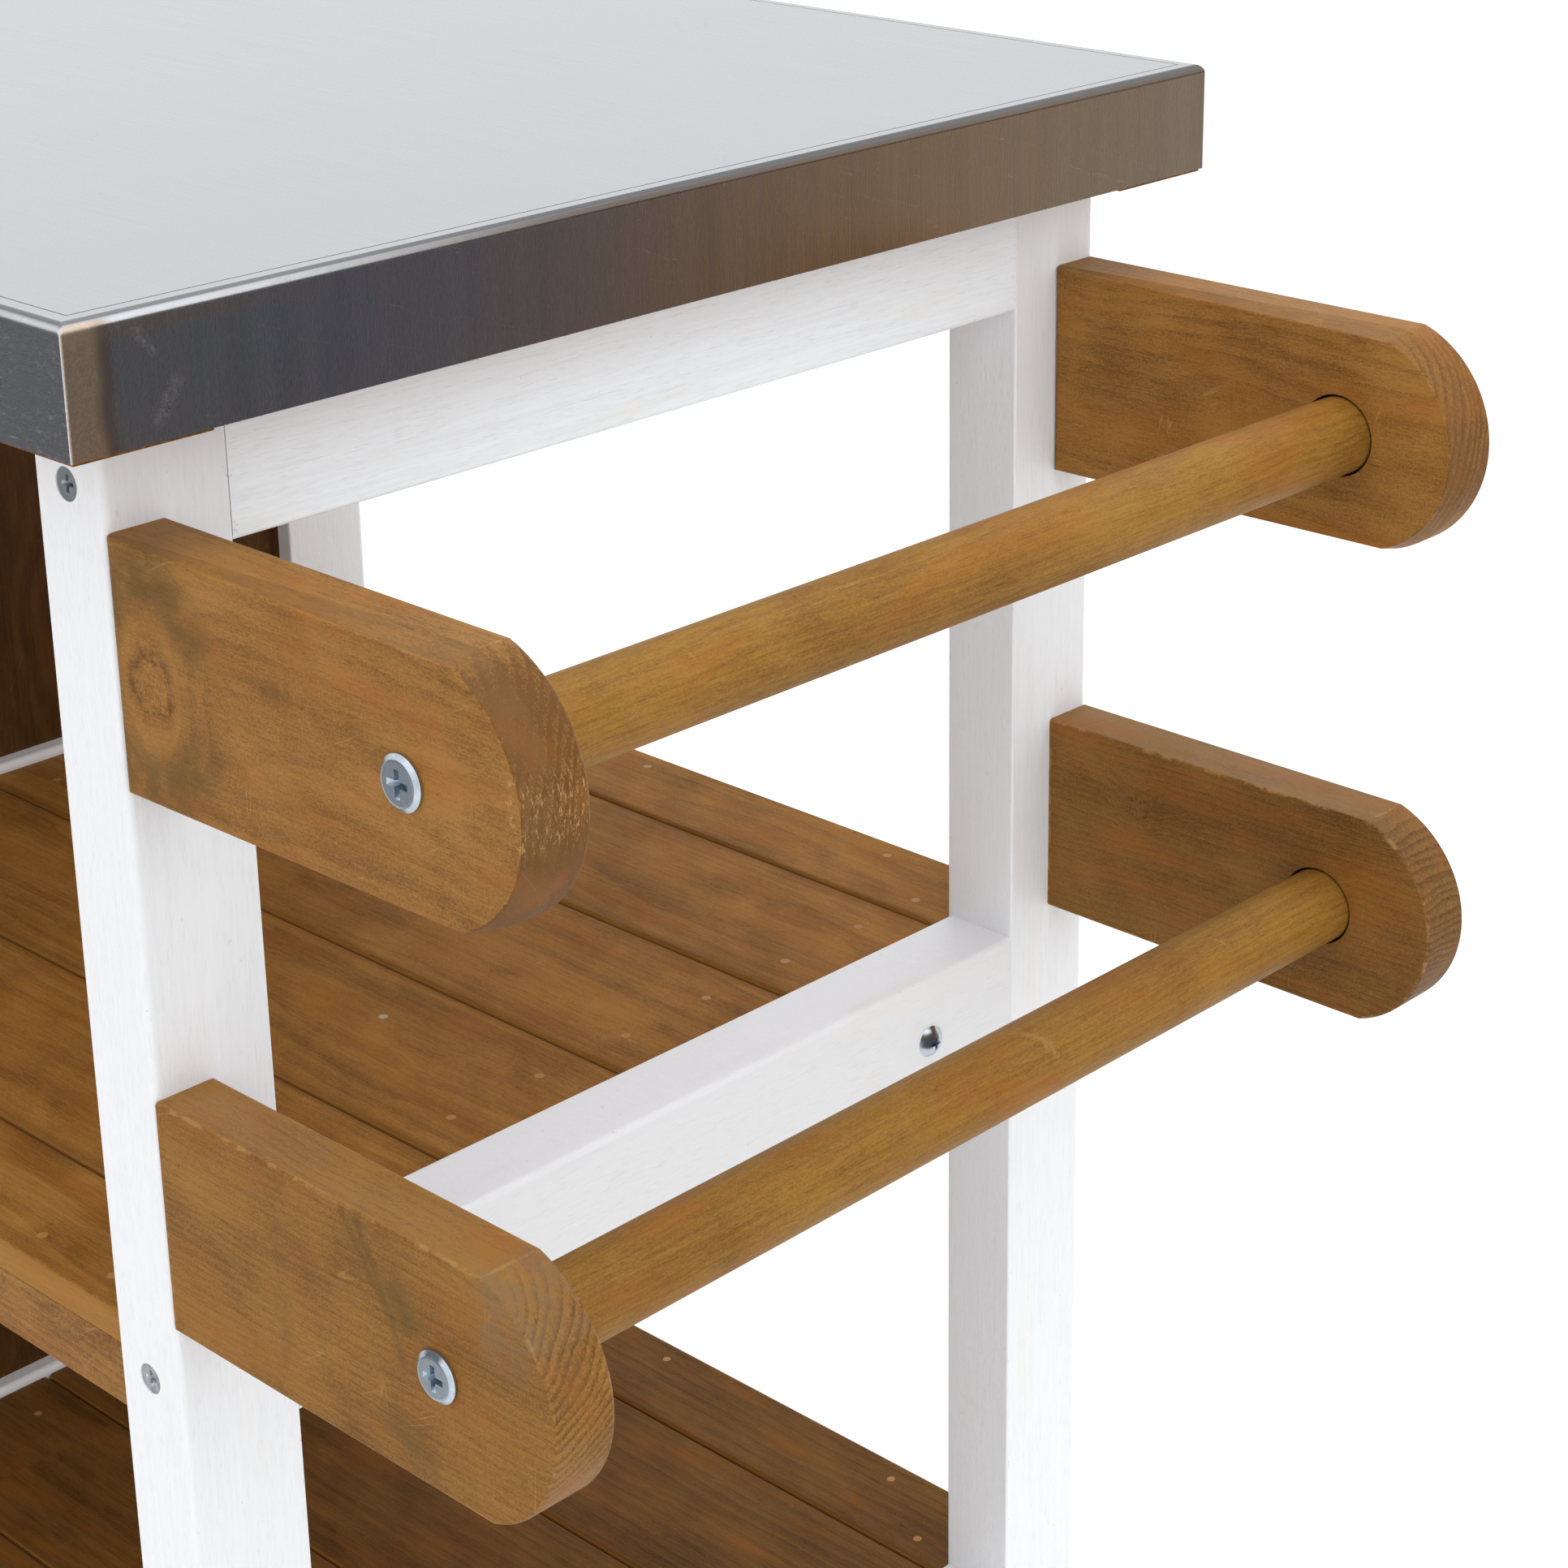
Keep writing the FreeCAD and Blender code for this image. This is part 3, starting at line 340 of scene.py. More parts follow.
def wood(name, axis, light, dark, pith, *, ring, seed, knots=(), edge=None, wear=0.5, grain=0.5,
         rough=0.55, extra=None, cell=None, sway=14.0, mottle=1.0, fleck=1.0, gloss=0.16,
         end_dark=0.35, end_rings=0.5, painted_top_light=0.0):
    """Stained softwood: rings round a pith line, fibres, pores, stain, knots and worn edges.

    axis is the grain's direction, pith is where the ring centre is across the grain and ring the
    rings' spacing, in mm. cell is a signal that tells boards that share a node apart. edge gives
    the distance to the nearest edge, and extra adds its own marks to the colour. The top-light
    amount paints light onto the part: top faces lighter, and tops and ends turned towards a pale
    lit tone.
    """
    tree = Tree(name)
    place = tree.place()
    x, y, z = place
    along, u, v = turned(place, axis)
    on_end = dict(zip("xyz", tree.facing()))[axis].step(0.25, 0.60)
    shift = seed * 31.7
    pu, pv = pith
    if cell is not None:
        own = cell(place)
        along = along + tree.random(own, seed, 1.0) * BOARD_SLIDE
        pu = tree.random(own, seed, 2.0) * PITH_SPREAD + (pu - PITH_SPREAD / 2)
        pv = tree.random(own, seed, 3.0) * PITH_SPREAD + (pv - PITH_SPREAD / 2)

    # Rings, from the bent distance to the pith
    wave = tree.noise(along * 0.009 + shift, u * 0.022, v * 0.022, detail=2.0)
    ripple = tree.noise(along * 0.035 + shift, u * 0.2, v * 0.2, detail=2.0)
    radius = hypot(u - pu, v - pv) + (wave - 0.5) * sway + (ripple - 0.5) * 1.2
    knot_shade = None
    for centre, across, size in knots:
        push, shade = knot(tree, place, centre, across, size, shift)
        radius = radius + push
        knot_shade = shade if knot_shade is None else knot_shade + shade
    drift = tree.noise(radius * 0.13 + shift, seed, 0.0, detail=1.0) * 1.6
    saw = (radius / ring + drift).fract()
    late = saw.step(0.25, 0.90) * saw.step(1.0, 0.92)

    # Fine structure and stain, each a noise from 0 to 1
    fibres = tree.noise(along * 0.09 + shift, u * 1.9, v * 1.9, detail=5.0, rough=0.68)
    dashes = tree.noise(along * 0.40 + shift, u * 1.6, v * 1.6, detail=4.0, rough=0.8)
    crumbs = tree.noise(x * 1.3, y * 1.3, z * 1.3 + shift, detail=3.0, rough=0.8)
    pores = tree.noise(along * 0.20 + shift, u * 3.0, v * 3.0, detail=1.0).step(0.60, 0.74)
    blotch = tree.noise(along * 0.012 + shift, u * 0.040, v * 0.040, detail=2.0)
    cloud = tree.noise(x * 0.040 + shift, y * 0.040, z * 0.040, detail=3.0)
    streak = tree.noise(along * 0.02 + shift, u * 0.5, v * 0.5, detail=2.0)
    brush = tree.noise((along + u + v) * 0.05 + shift, (along - u - v) * 0.016, seed, detail=2.0)

    # How dark the stain is
    shade = late * (0.45 * grain) + (fibres - 0.5) * 1.3
    shade = shade + ((blotch - 0.5) + (cloud - 0.5) * 0.7) * mottle
    shade = shade + ((dashes - 0.5) * 1.6 + (crumbs - 0.5) * 2.1) * fleck
    shade = shade + (streak - 0.5) * (1.3 * grain) + (brush - 0.5) * 0.5 + pores * 0.25
    shade = shade + on_end * (late * end_rings + end_dark) + 0.30
    if knot_shade is not None:
        shade = shade + knot_shade
    # Painted light: top faces lighter, and tops and ends turned towards a pale lit tone
    if painted_top_light:
        on_top = tree.facing()[2].step(0.7, 0.95)
        shade = shade - on_top * painted_top_light
    color = tree.mix(shade, light, dark)
    if painted_top_light:
        lit_faces = on_top.most(on_end * 0.5)
        color = tree.mix(lit_faces * (cloud.step(0.25, 0.60) * painted_top_light * 0.55), color, LIT_TOP_TONE)
    warm = tree.noise(along * 0.02 + shift, u * 0.07, v * 0.07 + 9.0, detail=3.0).step(0.45, 0.75)
    color = tree.mix(warm * 0.40, color, STAIN_RED if light[0] > 0.1 else dark)
    sparks = crumbs.step(0.60, 0.70) * dashes.step(0.50, 0.60)
    color = tree.mix(sparks * (0.35 * fleck), color, BARE_TAN)
    height = fibres * 0.08 + dashes * 0.05 - late * 0.03 - pores * 0.06
    sheen = (fibres - 0.5) * 0.14 - late * 0.04 + rough

    # Wear
    if edge is not None:
        uneven = tree.noise(x * 0.12 + shift, y * 0.12, z * 0.12, detail=4.0, rough=0.7)
        band = (edge(place) - uneven * 1.7).step(0.4, -0.7)
        scuffed = band * uneven.step(0.46, 0.60) * wear
        color = tree.mix(scuffed * 0.65, color, BARE_TAN)
        patches = tree.noise(x * 0.04, y * 0.04, z * 0.04 + seed).step(0.50, 0.70)
        color = tree.mix(band * patches * wear * 0.7, color, STAIN_VIOLET)
        height = height - scuffed * 0.08
    marks = scratches(tree, along + u * 1.4, v - along * 0.5 + u, seed + 2.0)
    crossing = scratches(tree, v + along * 0.2, along - u * 0.3, seed + 5.0, density=0.66)
    marks = marks.most(crossing)
    color = tree.mix(marks * (0.22 * fleck), color, BARE_TAN)
    height = height - marks * 0.05
    if extra is not None:
        color = extra(tree, place, color)
    return tree.finish(color, sheen, height, Specular_IOR_Level=gloss)


def paint(node, axis, seed, side_shade=0.0, tone=PAINT):
    """Satin white paint over softwood: raised grain, brush lines, pale stains, small chips.

    Where asked, painted shade on side faces and painted light on top faces.
    """
    tree = Tree(node + "_paint")
    place = tree.place()
    x, y, z = place
    along, u, v = turned(place, axis)
    shift = seed * 17.3
    grain = tree.noise(along * 0.05 + shift, u * 1.1, v * 1.1, detail=4.0, rough=0.6)
    pores = tree.noise(along * 0.16 + shift, u * 3.4, v * 3.4, detail=1.0).step(0.63, 0.74)
    cloud = tree.noise(along * 0.01 + shift, u * 0.05, v * 0.05, detail=3.0)
    lines = tree.noise(along * 0.015 + shift, u * 0.6, v * 0.6, detail=2.0)
    color = tree.mix((grain - 0.5) * 0.55 + (lines - 0.5) * 0.5 + 0.12, tone, PAINT_SHADE)
    color = tree.mix(pores * 0.35, color, PAINT_SHADE)
    # Painted shade on the faces along x, and painted light on the top faces
    if side_shade:
        side, _, top = tree.facing()
        color = tree.mix(side * side_shade, color, PAINT_SHADE)
        color = tree.mix(top, color, PAINT_LIT_TOP)
    color = tree.mix(cloud.step(0.60, 0.80) * 0.35, color, PAINT_STAIN)
    uneven = tree.noise(x * 0.35 + shift, y * 0.35, z * 0.35, detail=4.0, rough=0.6)
    chips = block_edge(place, *box_mm(node)).step(2.4, 0.4) * uneven.step(0.66, 0.70)
    color = tree.mix(chips * 0.55, color, PAINT_CHIP)
    specks = tree.noise(x * 0.55 + shift, y * 0.55, z * 0.55, detail=0.0).step(0.87, 0.90)
    color = tree.mix(specks * 0.35, color, PAINT_SPECK)
    lumps = tree.noise(x * 0.22, y * 0.22, z * 0.22 + shift, detail=2.0)
    height = grain * 0.09 + lumps * 0.14 - chips * 0.12 - pores * 0.05
    return tree.finish(color, (grain - 0.5) * 0.2 + 0.42, height)


def steel_skin():
    """Brushed steel: top along its length, ends upright, and plain metal by the front corners."""
    tree = Tree("brushed_steel_skin")
    x, y, z = tree.place()
    (_, y0, z0), (x1, _, z1) = box_mm("top_steel_skin")
    nx, _, nz = tree.facing()
    on_top = nz.step(0.55, 0.85)
    on_end = nx.step(0.55, 0.85)
    on_skirt = 1.0 - on_top

    # Brush marks, and the plain band that ends in a brown rim
    from_corner = (y - y0) + (tree.noise(z * 0.05, 3.0, 0.0) - 0.5) * 5.0
    plain = from_corner.step(13.5, 8.0) * on_end
    rim = (from_corner - 11.5).abs().step(4.0, 0.0) * on_end
    top_brush = tree.noise(x * 0.012, y * 2.6, 1.0, detail=2.0, rough=0.6)
    end_brush = tree.noise(z * 0.003, y * 1.15, 5.0, detail=2.0, rough=0.75)
    front_brush = tree.noise(x * 0.015, z * 0.9, 8.0, detail=2.0, rough=0.7)
    grit = tree.noise(x * 1.1, y * 1.1, z * 1.1, detail=3.0, rough=0.7)
    brush = front_brush + on_end * (end_brush - front_brush)
    brush = brush + on_top * (top_brush - brush)
    brush = brush + plain * (grit - brush)
    cloud = tree.noise(x * 0.006, y * 0.006, z * 0.02, detail=3.0)
    bands = tree.noise(x * 0.02, y * 0.12, z * 0.008 + 2.0, detail=2.0)
    depth = 1.6 - on_top * 1.35 - on_end * 0.65
    shade = (brush - 0.5) * depth + (cloud - 0.5) * 0.2 + (bands - 0.5) * on_skirt * 0.6
    color = tree.mix(shade + 0.18, STEEL, STEEL_SHADE)
    color = tree.mix(plain * 0.85, color, tree.mix(grit.step(0.15, 0.85), STEEL_DULL, STEEL_BROWN))
    # Painted shade: the top's colour darker than the skirts'
    color = tree.mix(on_top * 0.60, color, STEEL_SHADE)
    color = tree.mix(rim * 0.5, color, STEEL_RIM)

    # Nicks, scratches, and two smears near the front corner of the right end
    scuff = tree.noise(x * 0.05, y * 0.05, z * 0.10, detail=4.0, rough=0.7)
    nicks = tree.noise(x * 0.35, y * 0.35, z * 0.9, detail=3.0, rough=0.8)
    nicks = nicks.step(0.52, 0.68) * scuff.step(0.42, 0.58) * (1.0 - on_end) * on_skirt
    color = tree.mix(nicks * 0.50, color, STEEL_RUBBED)
    fine = scratches(tree, x + y * 0.8, z * 3.0 + y, 3.0, width=0.003, density=0.60)
    fine = fine.most(scratches(tree, z * 2.0 + x * 0.4, x + y, 7.0, width=0.003, density=0.63))
    smear = stroke((y, z), (y0 + 21.5, z0 + 29.5), (y0 + 26.0, z0 + 23.5), 2.6)
    smear = smear.most(stroke((y, z), (y0 + 26.5, z0 + 6.0), (y0 + 32.5, z0 + 14.5), 3.4))
    rubbed = tree.noise(y * 0.9, z * 0.5, 4.0, detail=3.0, rough=0.8)
    smear = smear * rubbed.step(0.42, 0.66) * x.step(x1 - 3.0, x1 - 1.0)
    worn = fine.most(smear)
    color = tree.mix(worn * on_skirt * 0.8, color, STEEL_RUBBED)

    # The fold round the top, with a painted reflection browner below and darker above towards the
    # back, and the scribed line darkened with painted shade
    far = y.step(-200.0, -40.0)
    fold_brown_reflection = nz.step(0.08, 0.22) * nz.step(0.78, 0.66) * far
    color = tree.mix(fold_brown_reflection * 0.92, color, STEEL_FOLD_BROWN)
    fold = nz.step(0.998, 0.975) * nz.step(far * -0.08 + 0.72, far * -0.06 + 0.84)
    color = tree.mix(fold * (far * 0.22 + 0.74), color, STEEL_FOLD)
    under_fold = z.step(z1 - 8.5, z1 - 4.0) * nz.step(0.25, 0.05) * on_end
    color = tree.mix(under_fold * y.step(-120.0, -190.0) * 0.45, color, STEEL_BROWN)
    # Painted shade in the scribed groove
    color = tree.mix(z.step(z1 - 0.08, z1 - 0.14) * on_top * 0.45, color, SCRIBED)

    rough = (brush - 0.5) * 0.15 + plain * 0.16 + worn * 0.10 + nicks * 0.06 + 0.27
    height = brush * (on_top * 0.008 + 0.004) + cloud * 0.04
    sideways = on_top.most(on_end)
    return tree.finish(color, rough, height, Metallic=1.0, Anisotropic=0.55,
                       tangent=tree.vector(0.0, sideways, 1.0 - sideways))


def zinc(name, seed, tone=ZINC, rough=0.30, painted_below=None, flat=""):
    """Zinc-plated steel: bluish, a little mottled, with tool marks.

    flat names an axis whose faces are dull, and below painted_below the frame's paint daubs it.
    """
    tree = Tree(name)
    x, y, z = tree.place()
    mottle = tree.noise(x * 0.45 + seed, y * 0.45, z * 0.45, detail=3.0)
    fine = tree.noise(x * 4.0, y * 4.0, z * 4.0 + seed, detail=2.0)
    color = tree.mix((mottle - 0.5) * 0.8 + (fine - 0.5) * 0.5 + 0.25, tone, ZINC_SHADE)
    gloss = (mottle - 0.5) * 0.2 + rough
    if flat:
        dull = dict(zip("xyz", tree.facing()))[flat].step(0.93, 0.99)
        gloss = gloss + dull * 0.24
    if painted_below is not None:
        daub = tree.noise(x * 0.3, y * 0.3, z * 0.3, detail=2.0).step(0.40, 0.55)
        painted = z.step(painted_below + 5.0, painted_below) * (daub * 0.5 + 0.3)
        color = tree.mix(painted, color, PAINT)
    return tree.finish(color, gloss, fine * 0.02 + mottle * 0.03, Metallic=1.0)


def filled_nails():
    """Nail heads under a smear of filler and stain, some barely showing."""
    tree = Tree("nail_filler")
    x, y, z = tree.place()
    own = tree.random((x / 12.0).floor(), (y / 12.0).floor(), (z / 100.0).floor())
    smear = tree.noise(x * 0.9, y * 0.9, z * 0.9, detail=2.0)
    color = tree.mix(own.step(0.25, 0.85) * 0.7 + (smear - 0.5) * 0.8, BOARD_LIGHT, FILLER)
    return tree.finish(color, smear * 0.2 + 0.4, smear * 0.05, Specular_IOR_Level=0.25)


def plastic(name, light, dark):
    tree = Tree(name)
    x, y, z = tree.place()
    fine = tree.noise(x * 3.0, y * 3.0, z * 3.0, detail=2.0)
    cloud = tree.noise(x * 0.2, y * 0.2, z * 0.2, detail=2.0)
    color = tree.mix((cloud - 0.5) * 0.8 + 0.3, light, dark)
    return tree.finish(color, fine * 0.2 + 0.35, fine * 0.03)


def dress(node, material):
    for slot in NODES[node].material_slots:
        slot.material = material


def rows_across(pitch_y, pitch_x=1000.0):
    """A cell number for pieces that share a node but stand apart."""

    def cell(place):
        x, y, z = place
        row = ((y - SHELF_SHIFT) / pitch_y).floor()
        column = (x / pitch_x).floor() * COLUMN_STEP
        return row + column + (z / LEVEL_HEIGHT).floor() * LEVEL_STEP

    return cell


def bracket_edge(low, high):
    """Distance to a bracket's nearest edge: straight sides, then the arc from kink to kink."""
    half = (high[2] - low[2]) / 2
    middle = (high[2] + low[2]) / 2
    kink = high[0] - NOSE_DEPTH
    arc = (half * half + NOSE_DEPTH * NOSE_DEPTH) / (2 * NOSE_DEPTH)

    def gap(place):
        x, y, z = place
        thick = (y - low[1]).least((y * -1.0) + high[1])
        side = ((z - middle).abs() * -1.0) + half
        nose = (hypot(x - (high[0] - arc), z - middle) * -1.0) + arc
        outline = side + x.step(kink - 0.1, kink + 0.1) * (nose - side)
        return median(thick, outline, x - low[0]).least(hypot(x - kink, side) + 0.5)

    return gap


def grey_rim_strip(tree, color, rag):
    """The sloped strip round an upper bracket's front rim: greyer and darker than the wood beside
    it.
    """
    slope = tree.facing()[1]
    strip = slope.step(0.08, 0.16) * slope.step(0.42, 0.34)
    return tree.mix(strip * (rag.step(0.30, 0.60) * 0.35 + 0.15), color, STAIN_VIOLET)


def upper_front_marks(low):
    """Stain gathered in an arc round the knot, a reddish streak, and pale scuffs on the nose."""

    def marks(tree, place, color):
        x, y, z = (p - o for p, o in zip(place, low))
        rag = tree.noise(x * 0.10, y * 0.10, z * 0.10 + 4.0, detail=4.0, rough=0.6)
        around = hypot(x - 15.5, (z - 34.5) * 0.78)
        arc = around.step(12.0, 20.0) * around.step(35.0, 23.0) * (z - 34.5).abs().step(3.0, 17.0)
        color = tree.mix(arc * rag.step(0.22, 0.58) * 0.70, color, STAIN_OLIVE)
        ring = (around - 12.5).abs().step(4.5, 0.0)
        color = tree.mix(ring * 0.30, color, STAIN_LIGHT)
        red = stroke((x, z), (70.0, 57.0), (128.0, 52.0), 12.0)
        color = tree.mix(red * rag.step(0.33, 0.66) * 0.50, color, STAIN_RED)
        streak = stroke((x, z), (66.0, 47.0), (112.0, 40.0), 8.0)
        color = tree.mix(streak * rag.step(0.40, 0.64) * 0.55, color, STAIN_DARK)
        color = grey_rim_strip(tree, color, rag)
        nose = x.step(150.0, 158.0) * (z - 38.0).abs().step(13.0, 5.0)
        fine = tree.noise(x * 0.3, y * 1.2, z * 0.35, detail=4.0, rough=0.8)
        return tree.mix(nose * fine.step(0.54, 0.64) * 0.6, color, BARE_TAN)

    return marks


def upper_back_marks(low):
    def marks(tree, place, color):
        x, y, z = (p - o for p, o in zip(place, low))
        rag = tree.noise(x * 0.10, y * 0.10, z * 0.10 + 7.0, detail=4.0)
        return grey_rim_strip(tree, color, rag)

    return marks


def lower_front_marks(low):
    """Dark strokes that meet above the screw, dark spots, a faint cross band and a grey kink."""

    def marks(tree, place, color):
        x, y, z = (p - o for p, o in zip(place, low))
        rag = tree.noise(x * 0.12, y * 0.12, z * 0.12 + 8.0, detail=4.0, rough=0.65)
        wobble = (tree.noise(x * 0.2, z * 0.2, 3.0) - 0.5) * 3.0
        bent = (x + wobble, z + wobble * 0.6)
        lines = stroke(bent, (86.5, 69.0), (98.5, 45.0), 3.2)
        lines = lines.most(stroke(bent, (80.5, 69.5), (98.5, 44.0), 2.6) * 0.8)
        lines = lines.most(stroke(bent, (98.5, 45.0), (102.0, 33.0), 2.4) * 0.6)
        spot = stroke(bent, (101.0, 54.0), (104.0, 48.0), 9.0)
        low_spot = stroke(bent, (98.0, 12.0), (107.0, 8.0), 11.0)
        band = stroke(bent, (53.0, 72.0), (51.0, 12.0), 7.0)
        dark = lines * rag.step(0.25, 0.55)
        dark = dark.most(spot * rag.step(0.22, 0.50))
        dark = dark.most(low_spot * rag.step(0.30, 0.60) * 0.8)
        dark = dark.most(band * rag.step(0.35, 0.60) * 0.40)
        on_face = y.step(1.5, 0.5)
        color = tree.mix(dark * on_face * 0.70, color, STAIN_OLIVE)
        kink = hypot(x - 141.0, z - 64.0).step(24.0, 6.0) * x.step(128.0, 138.0)
        return tree.mix(kink * rag.step(0.30, 0.62) * 0.60, color, STAIN_GREY)

    return marks


def dress_brackets():
    usual = (STAIN_LIGHT, STAIN_DARK)
    olive = shades(usual, (0.90, 0.90, 0.72))
    # The lower back bracket takes the usual tones at 0.70, a painted shade
    shaded_tones = shades(usual, 0.70)
    knot_upper = ((15.5, -1.0, 34.5), "y", 8.0)
    knot_lower = ((40.0, 20.0, 50.0), "y", 4.0)
    for node, tones, seed, pith, knots, marks, end_dark, end_rings, painted_top_light in (
        ("bar_bracket_upper_front", usual, 1.0, (-150.0, 735.0), [knot_upper], upper_front_marks,
         0.65, 0.25, 0.12),
        ("bar_bracket_lower_front", olive, 2.3, (-235.0, 650.0), [], lower_front_marks,
         -0.12, 0.35, 0.30),
        ("bar_bracket_upper_back", usual, 3.1, (255.0, 730.0), [], upper_back_marks,
         0.30, 0.3, 0.12),
        ("bar_bracket_lower_back", shaded_tones, 4.7, (190.0, 520.0), [knot_lower], None,
         0.20, 0.3, 0.30),
    ):
        low, high = box_mm(node)
        placed = [(tuple(l + o for l, o in zip(low, offset)), across, size)
                  for offset, across, size in knots]
        dress(node, wood(node + "_wood", "x", *tones, pith, ring=2.6, seed=seed, knots=placed,
                         painted_top_light=painted_top_light, edge=bracket_edge(low, high), grain=0.42,
                         end_dark=end_dark, end_rings=end_rings,
                         extra=marks(low) if marks else None))


def dress_frame():
    upright = ("leg_", "post_")
    pieces = sorted(n for n in NODES if n.startswith(upright) or n.endswith("_rail"))
    for i, node in enumerate(pieces):
        if node.startswith(upright):
            axis = "z"
        else:
            axis = "x" if node.startswith("door_") else "y"
        # The middle rail gets painted shade on its sides, and the top rail a lighter tone as
        # painted light
        dress(node, paint(node, axis, 1.0 + i * 1.37,
                          side_shade=0.7 if node == "right_middle_rail" else 0.0,
                          tone=PAINT_LIT_RAIL if node == "right_top_rail" else PAINT))
    for i, node in enumerate(("door_hinge_stile", "door_latch_stile")):
        dress(node, paint(node, "z", 40.0 + i))


def board_marks(spot=None):
    """Boards darker along their seams as painted shade, front and back faces lighter, and on one
    board a pale fleck.
    """

    def marks(tree, place, color):
        x, y, z = place
        seam = ((y - SHELF_SHIFT) / BOARD_PITCH + 0.5).fract() - 0.5
        near = (seam * BOARD_PITCH).abs()
        ragged = tree.noise(x * 0.03, y * 0.3, z * 0.1 + 3.0, detail=3.0)
        # Painted shade along the seams between boards
        color = tree.mix(near.step(5.5, 0.5) * (ragged * 0.8 + 0.15), color, BOARD_DARK)
        color = tree.mix(tree.facing()[1].step(0.6, 0.9) * 0.7, color, STAIN_LIGHT)
        if spot is None:
            return color
        fleck = hypot(x - spot[0], y - spot[1]).step(2.2, 1.0)
        return tree.mix(fleck * 0.6, color, BOARD_FLECK)

    return marks


def dress_shelves():
    looks = dict(ring=6.0, grain=0.50, gloss=0.08, rough=0.62, mottle=0.8, fleck=0.55, end_dark=0.2)
    fleck = (232.0, -25.0)
    for i in range(SHELF_BOARDS):
        node = f"upper_shelf_board_{i + 1}"
        low, high = box_mm(node)
        pith = ((low[1] + high[1]) / 2 + (-1) ** i * 12.0, low[2] - 26.0 - 5.0 * i)
        spot = fleck if low[1] < fleck[1] < high[1] else None
        dress(node, wood(node + "_wood", "x", BOARD_LIGHT, BOARD_DARK, pith, seed=10.0 + i * 1.9,
                         edge=lambda place, a=low, b=high: block_edge(place, a, b), wear=0.2,
                         extra=board_marks(spot), **looks))
    # The lower shelf's boards take the board tones at 0.48, a painted shade
    shelves = (("lower_shelf_boards", 0.48), ("cabinet_middle_boards", 1.0),
               ("cabinet_bottom_boards", 1.0))
    for i, (node, share) in enumerate(shelves):
        low, high = box_mm(node)
        pith = ((low[1] + high[1]) / 2, low[2] - 36.0)
        dress(node, wood(node + "_wood", "x", *shades((BOARD_LIGHT, BOARD_DARK), share), pith,
                         seed=25.0 + i, cell=rows_across(BOARD_PITCH), extra=board_marks(),
                         **looks))
    for node, name, axis, seed, pitch in (
        ("shelf_bearers", "bearer_wood", "x", 31.0, (400.0, 60.0)),
        ("shelf_cross_battens", "cross_batten_wood", "y", 33.0, (1000.0, 60.0)),
    ):
        dress(node, wood(name, axis, STAIN_LIGHT, STAIN_DARK, (0.0, 100.0), ring=3.0, seed=seed,
                         cell=rows_across(*pitch)))


def dress_panels():
    for i, node in enumerate(("partition_panel_upper", "partition_panel_lower", "left_end_panels",
                              "cabinet_back_panel", "door_upper_panel", "door_lower_panel")):
        low, high = box_mm(node)
        if high[0] - low[0] > high[1] - low[1]:
            pith = ((low[0] + high[0]) / 2, low[1] - 60.0)
        else:
            pith = (low[0] - 60.0, (low[1] + high[1]) / 2)
        dress(node, wood(node + "_wood", "z", PANEL_LIGHT, PANEL_DARK, pith, ring=7.0,
                         seed=50.0 + i * 2.1, sway=40.0, grain=0.7, mottle=0.6, fleck=0.5,
                         gloss=0.12))


def dress_bars():
    for i, node in enumerate(("towel_bar_upper", "towel_bar_lower")):
        low, high = box_mm(node)
        pith = ((low[2] + high[2]) / 2 - 22.0, (low[0] + high[0]) / 2 + 9.0)
        dress(node, wood(node + "_wood", "y", DOWEL_LIGHT, DOWEL_DARK, pith, ring=2.6,
                         seed=60.0 + i * 3.0, grain=0.35, mottle=0.8, fleck=0.75, end_dark=0.2))


def dress_core():
    for i, node in enumerate(("top_core_board", "top_core_battens")):
        dress(node, wood(node + "_wood", "x", STAIN_LIGHT, STAIN_DARK, (0.0, 760.0), ring=3.4,
                         seed=70.0 + i))


def dress_small_parts():
    dress("frame_screws", zinc("frame_screw_zinc", 1.0, SCREW_GREY, rough=0.42,
                               painted_below=PAINTED_SCREWS_BELOW, flat="y"))
    dress("bar_end_screws", zinc("bar_screw_zinc", 2.0, rough=0.24, flat="y"))
    dress("shelf_bolts", zinc("shelf_bolt_zinc", 3.0, rough=0.22))
    dress("shelf_nails", filled_nails())
    for i, node in enumerate(("door_screws", "cabinet_hardware_screws", "hinge_door_leaves",
                              "hinge_frame_leaves", "hinge_pins", "catch_strike_plate")):
        dress(node, zinc(node + "_zinc", 5.0 + i))
    dress("foot_glides", plastic("glide_plastic", GLIDE_BLACK, GLIDE_SHADE))
    dress("magnetic_catch", plastic("catch_plastic", CATCH_WHITE, CATCH_SHADE))
    low, high = box_mm("door_knob")
    pith = ((low[2] + high[2]) / 2 + 20.0, (low[0] + high[0]) / 2 + 4.0)
    dress("door_knob", wood("knob_wood", "y", STAIN_LIGHT, STAIN_DARK, pith, ring=2.4, seed=80.0))


def emitter(name, gradient):
    """A card's material: a glow that changes along the card."""
    tree = Tree(name)
    along = tree.coordinates("Object")[0]
    ramp = tree.node("ValToRGB")
    tree.feed(ramp.inputs[0], along)
    elements = ramp.color_ramp.elements
    while len(elements) < len(gradient):
        elements.new(0.5)
    for element, (at, color) in zip(elements, gradient):
        element.position = at
        element.color = (*color, 1.0)
    glow = tree.node("Emission")
    tree.link(ramp.outputs[0], glow.inputs[0])
    return tree.output(glow)


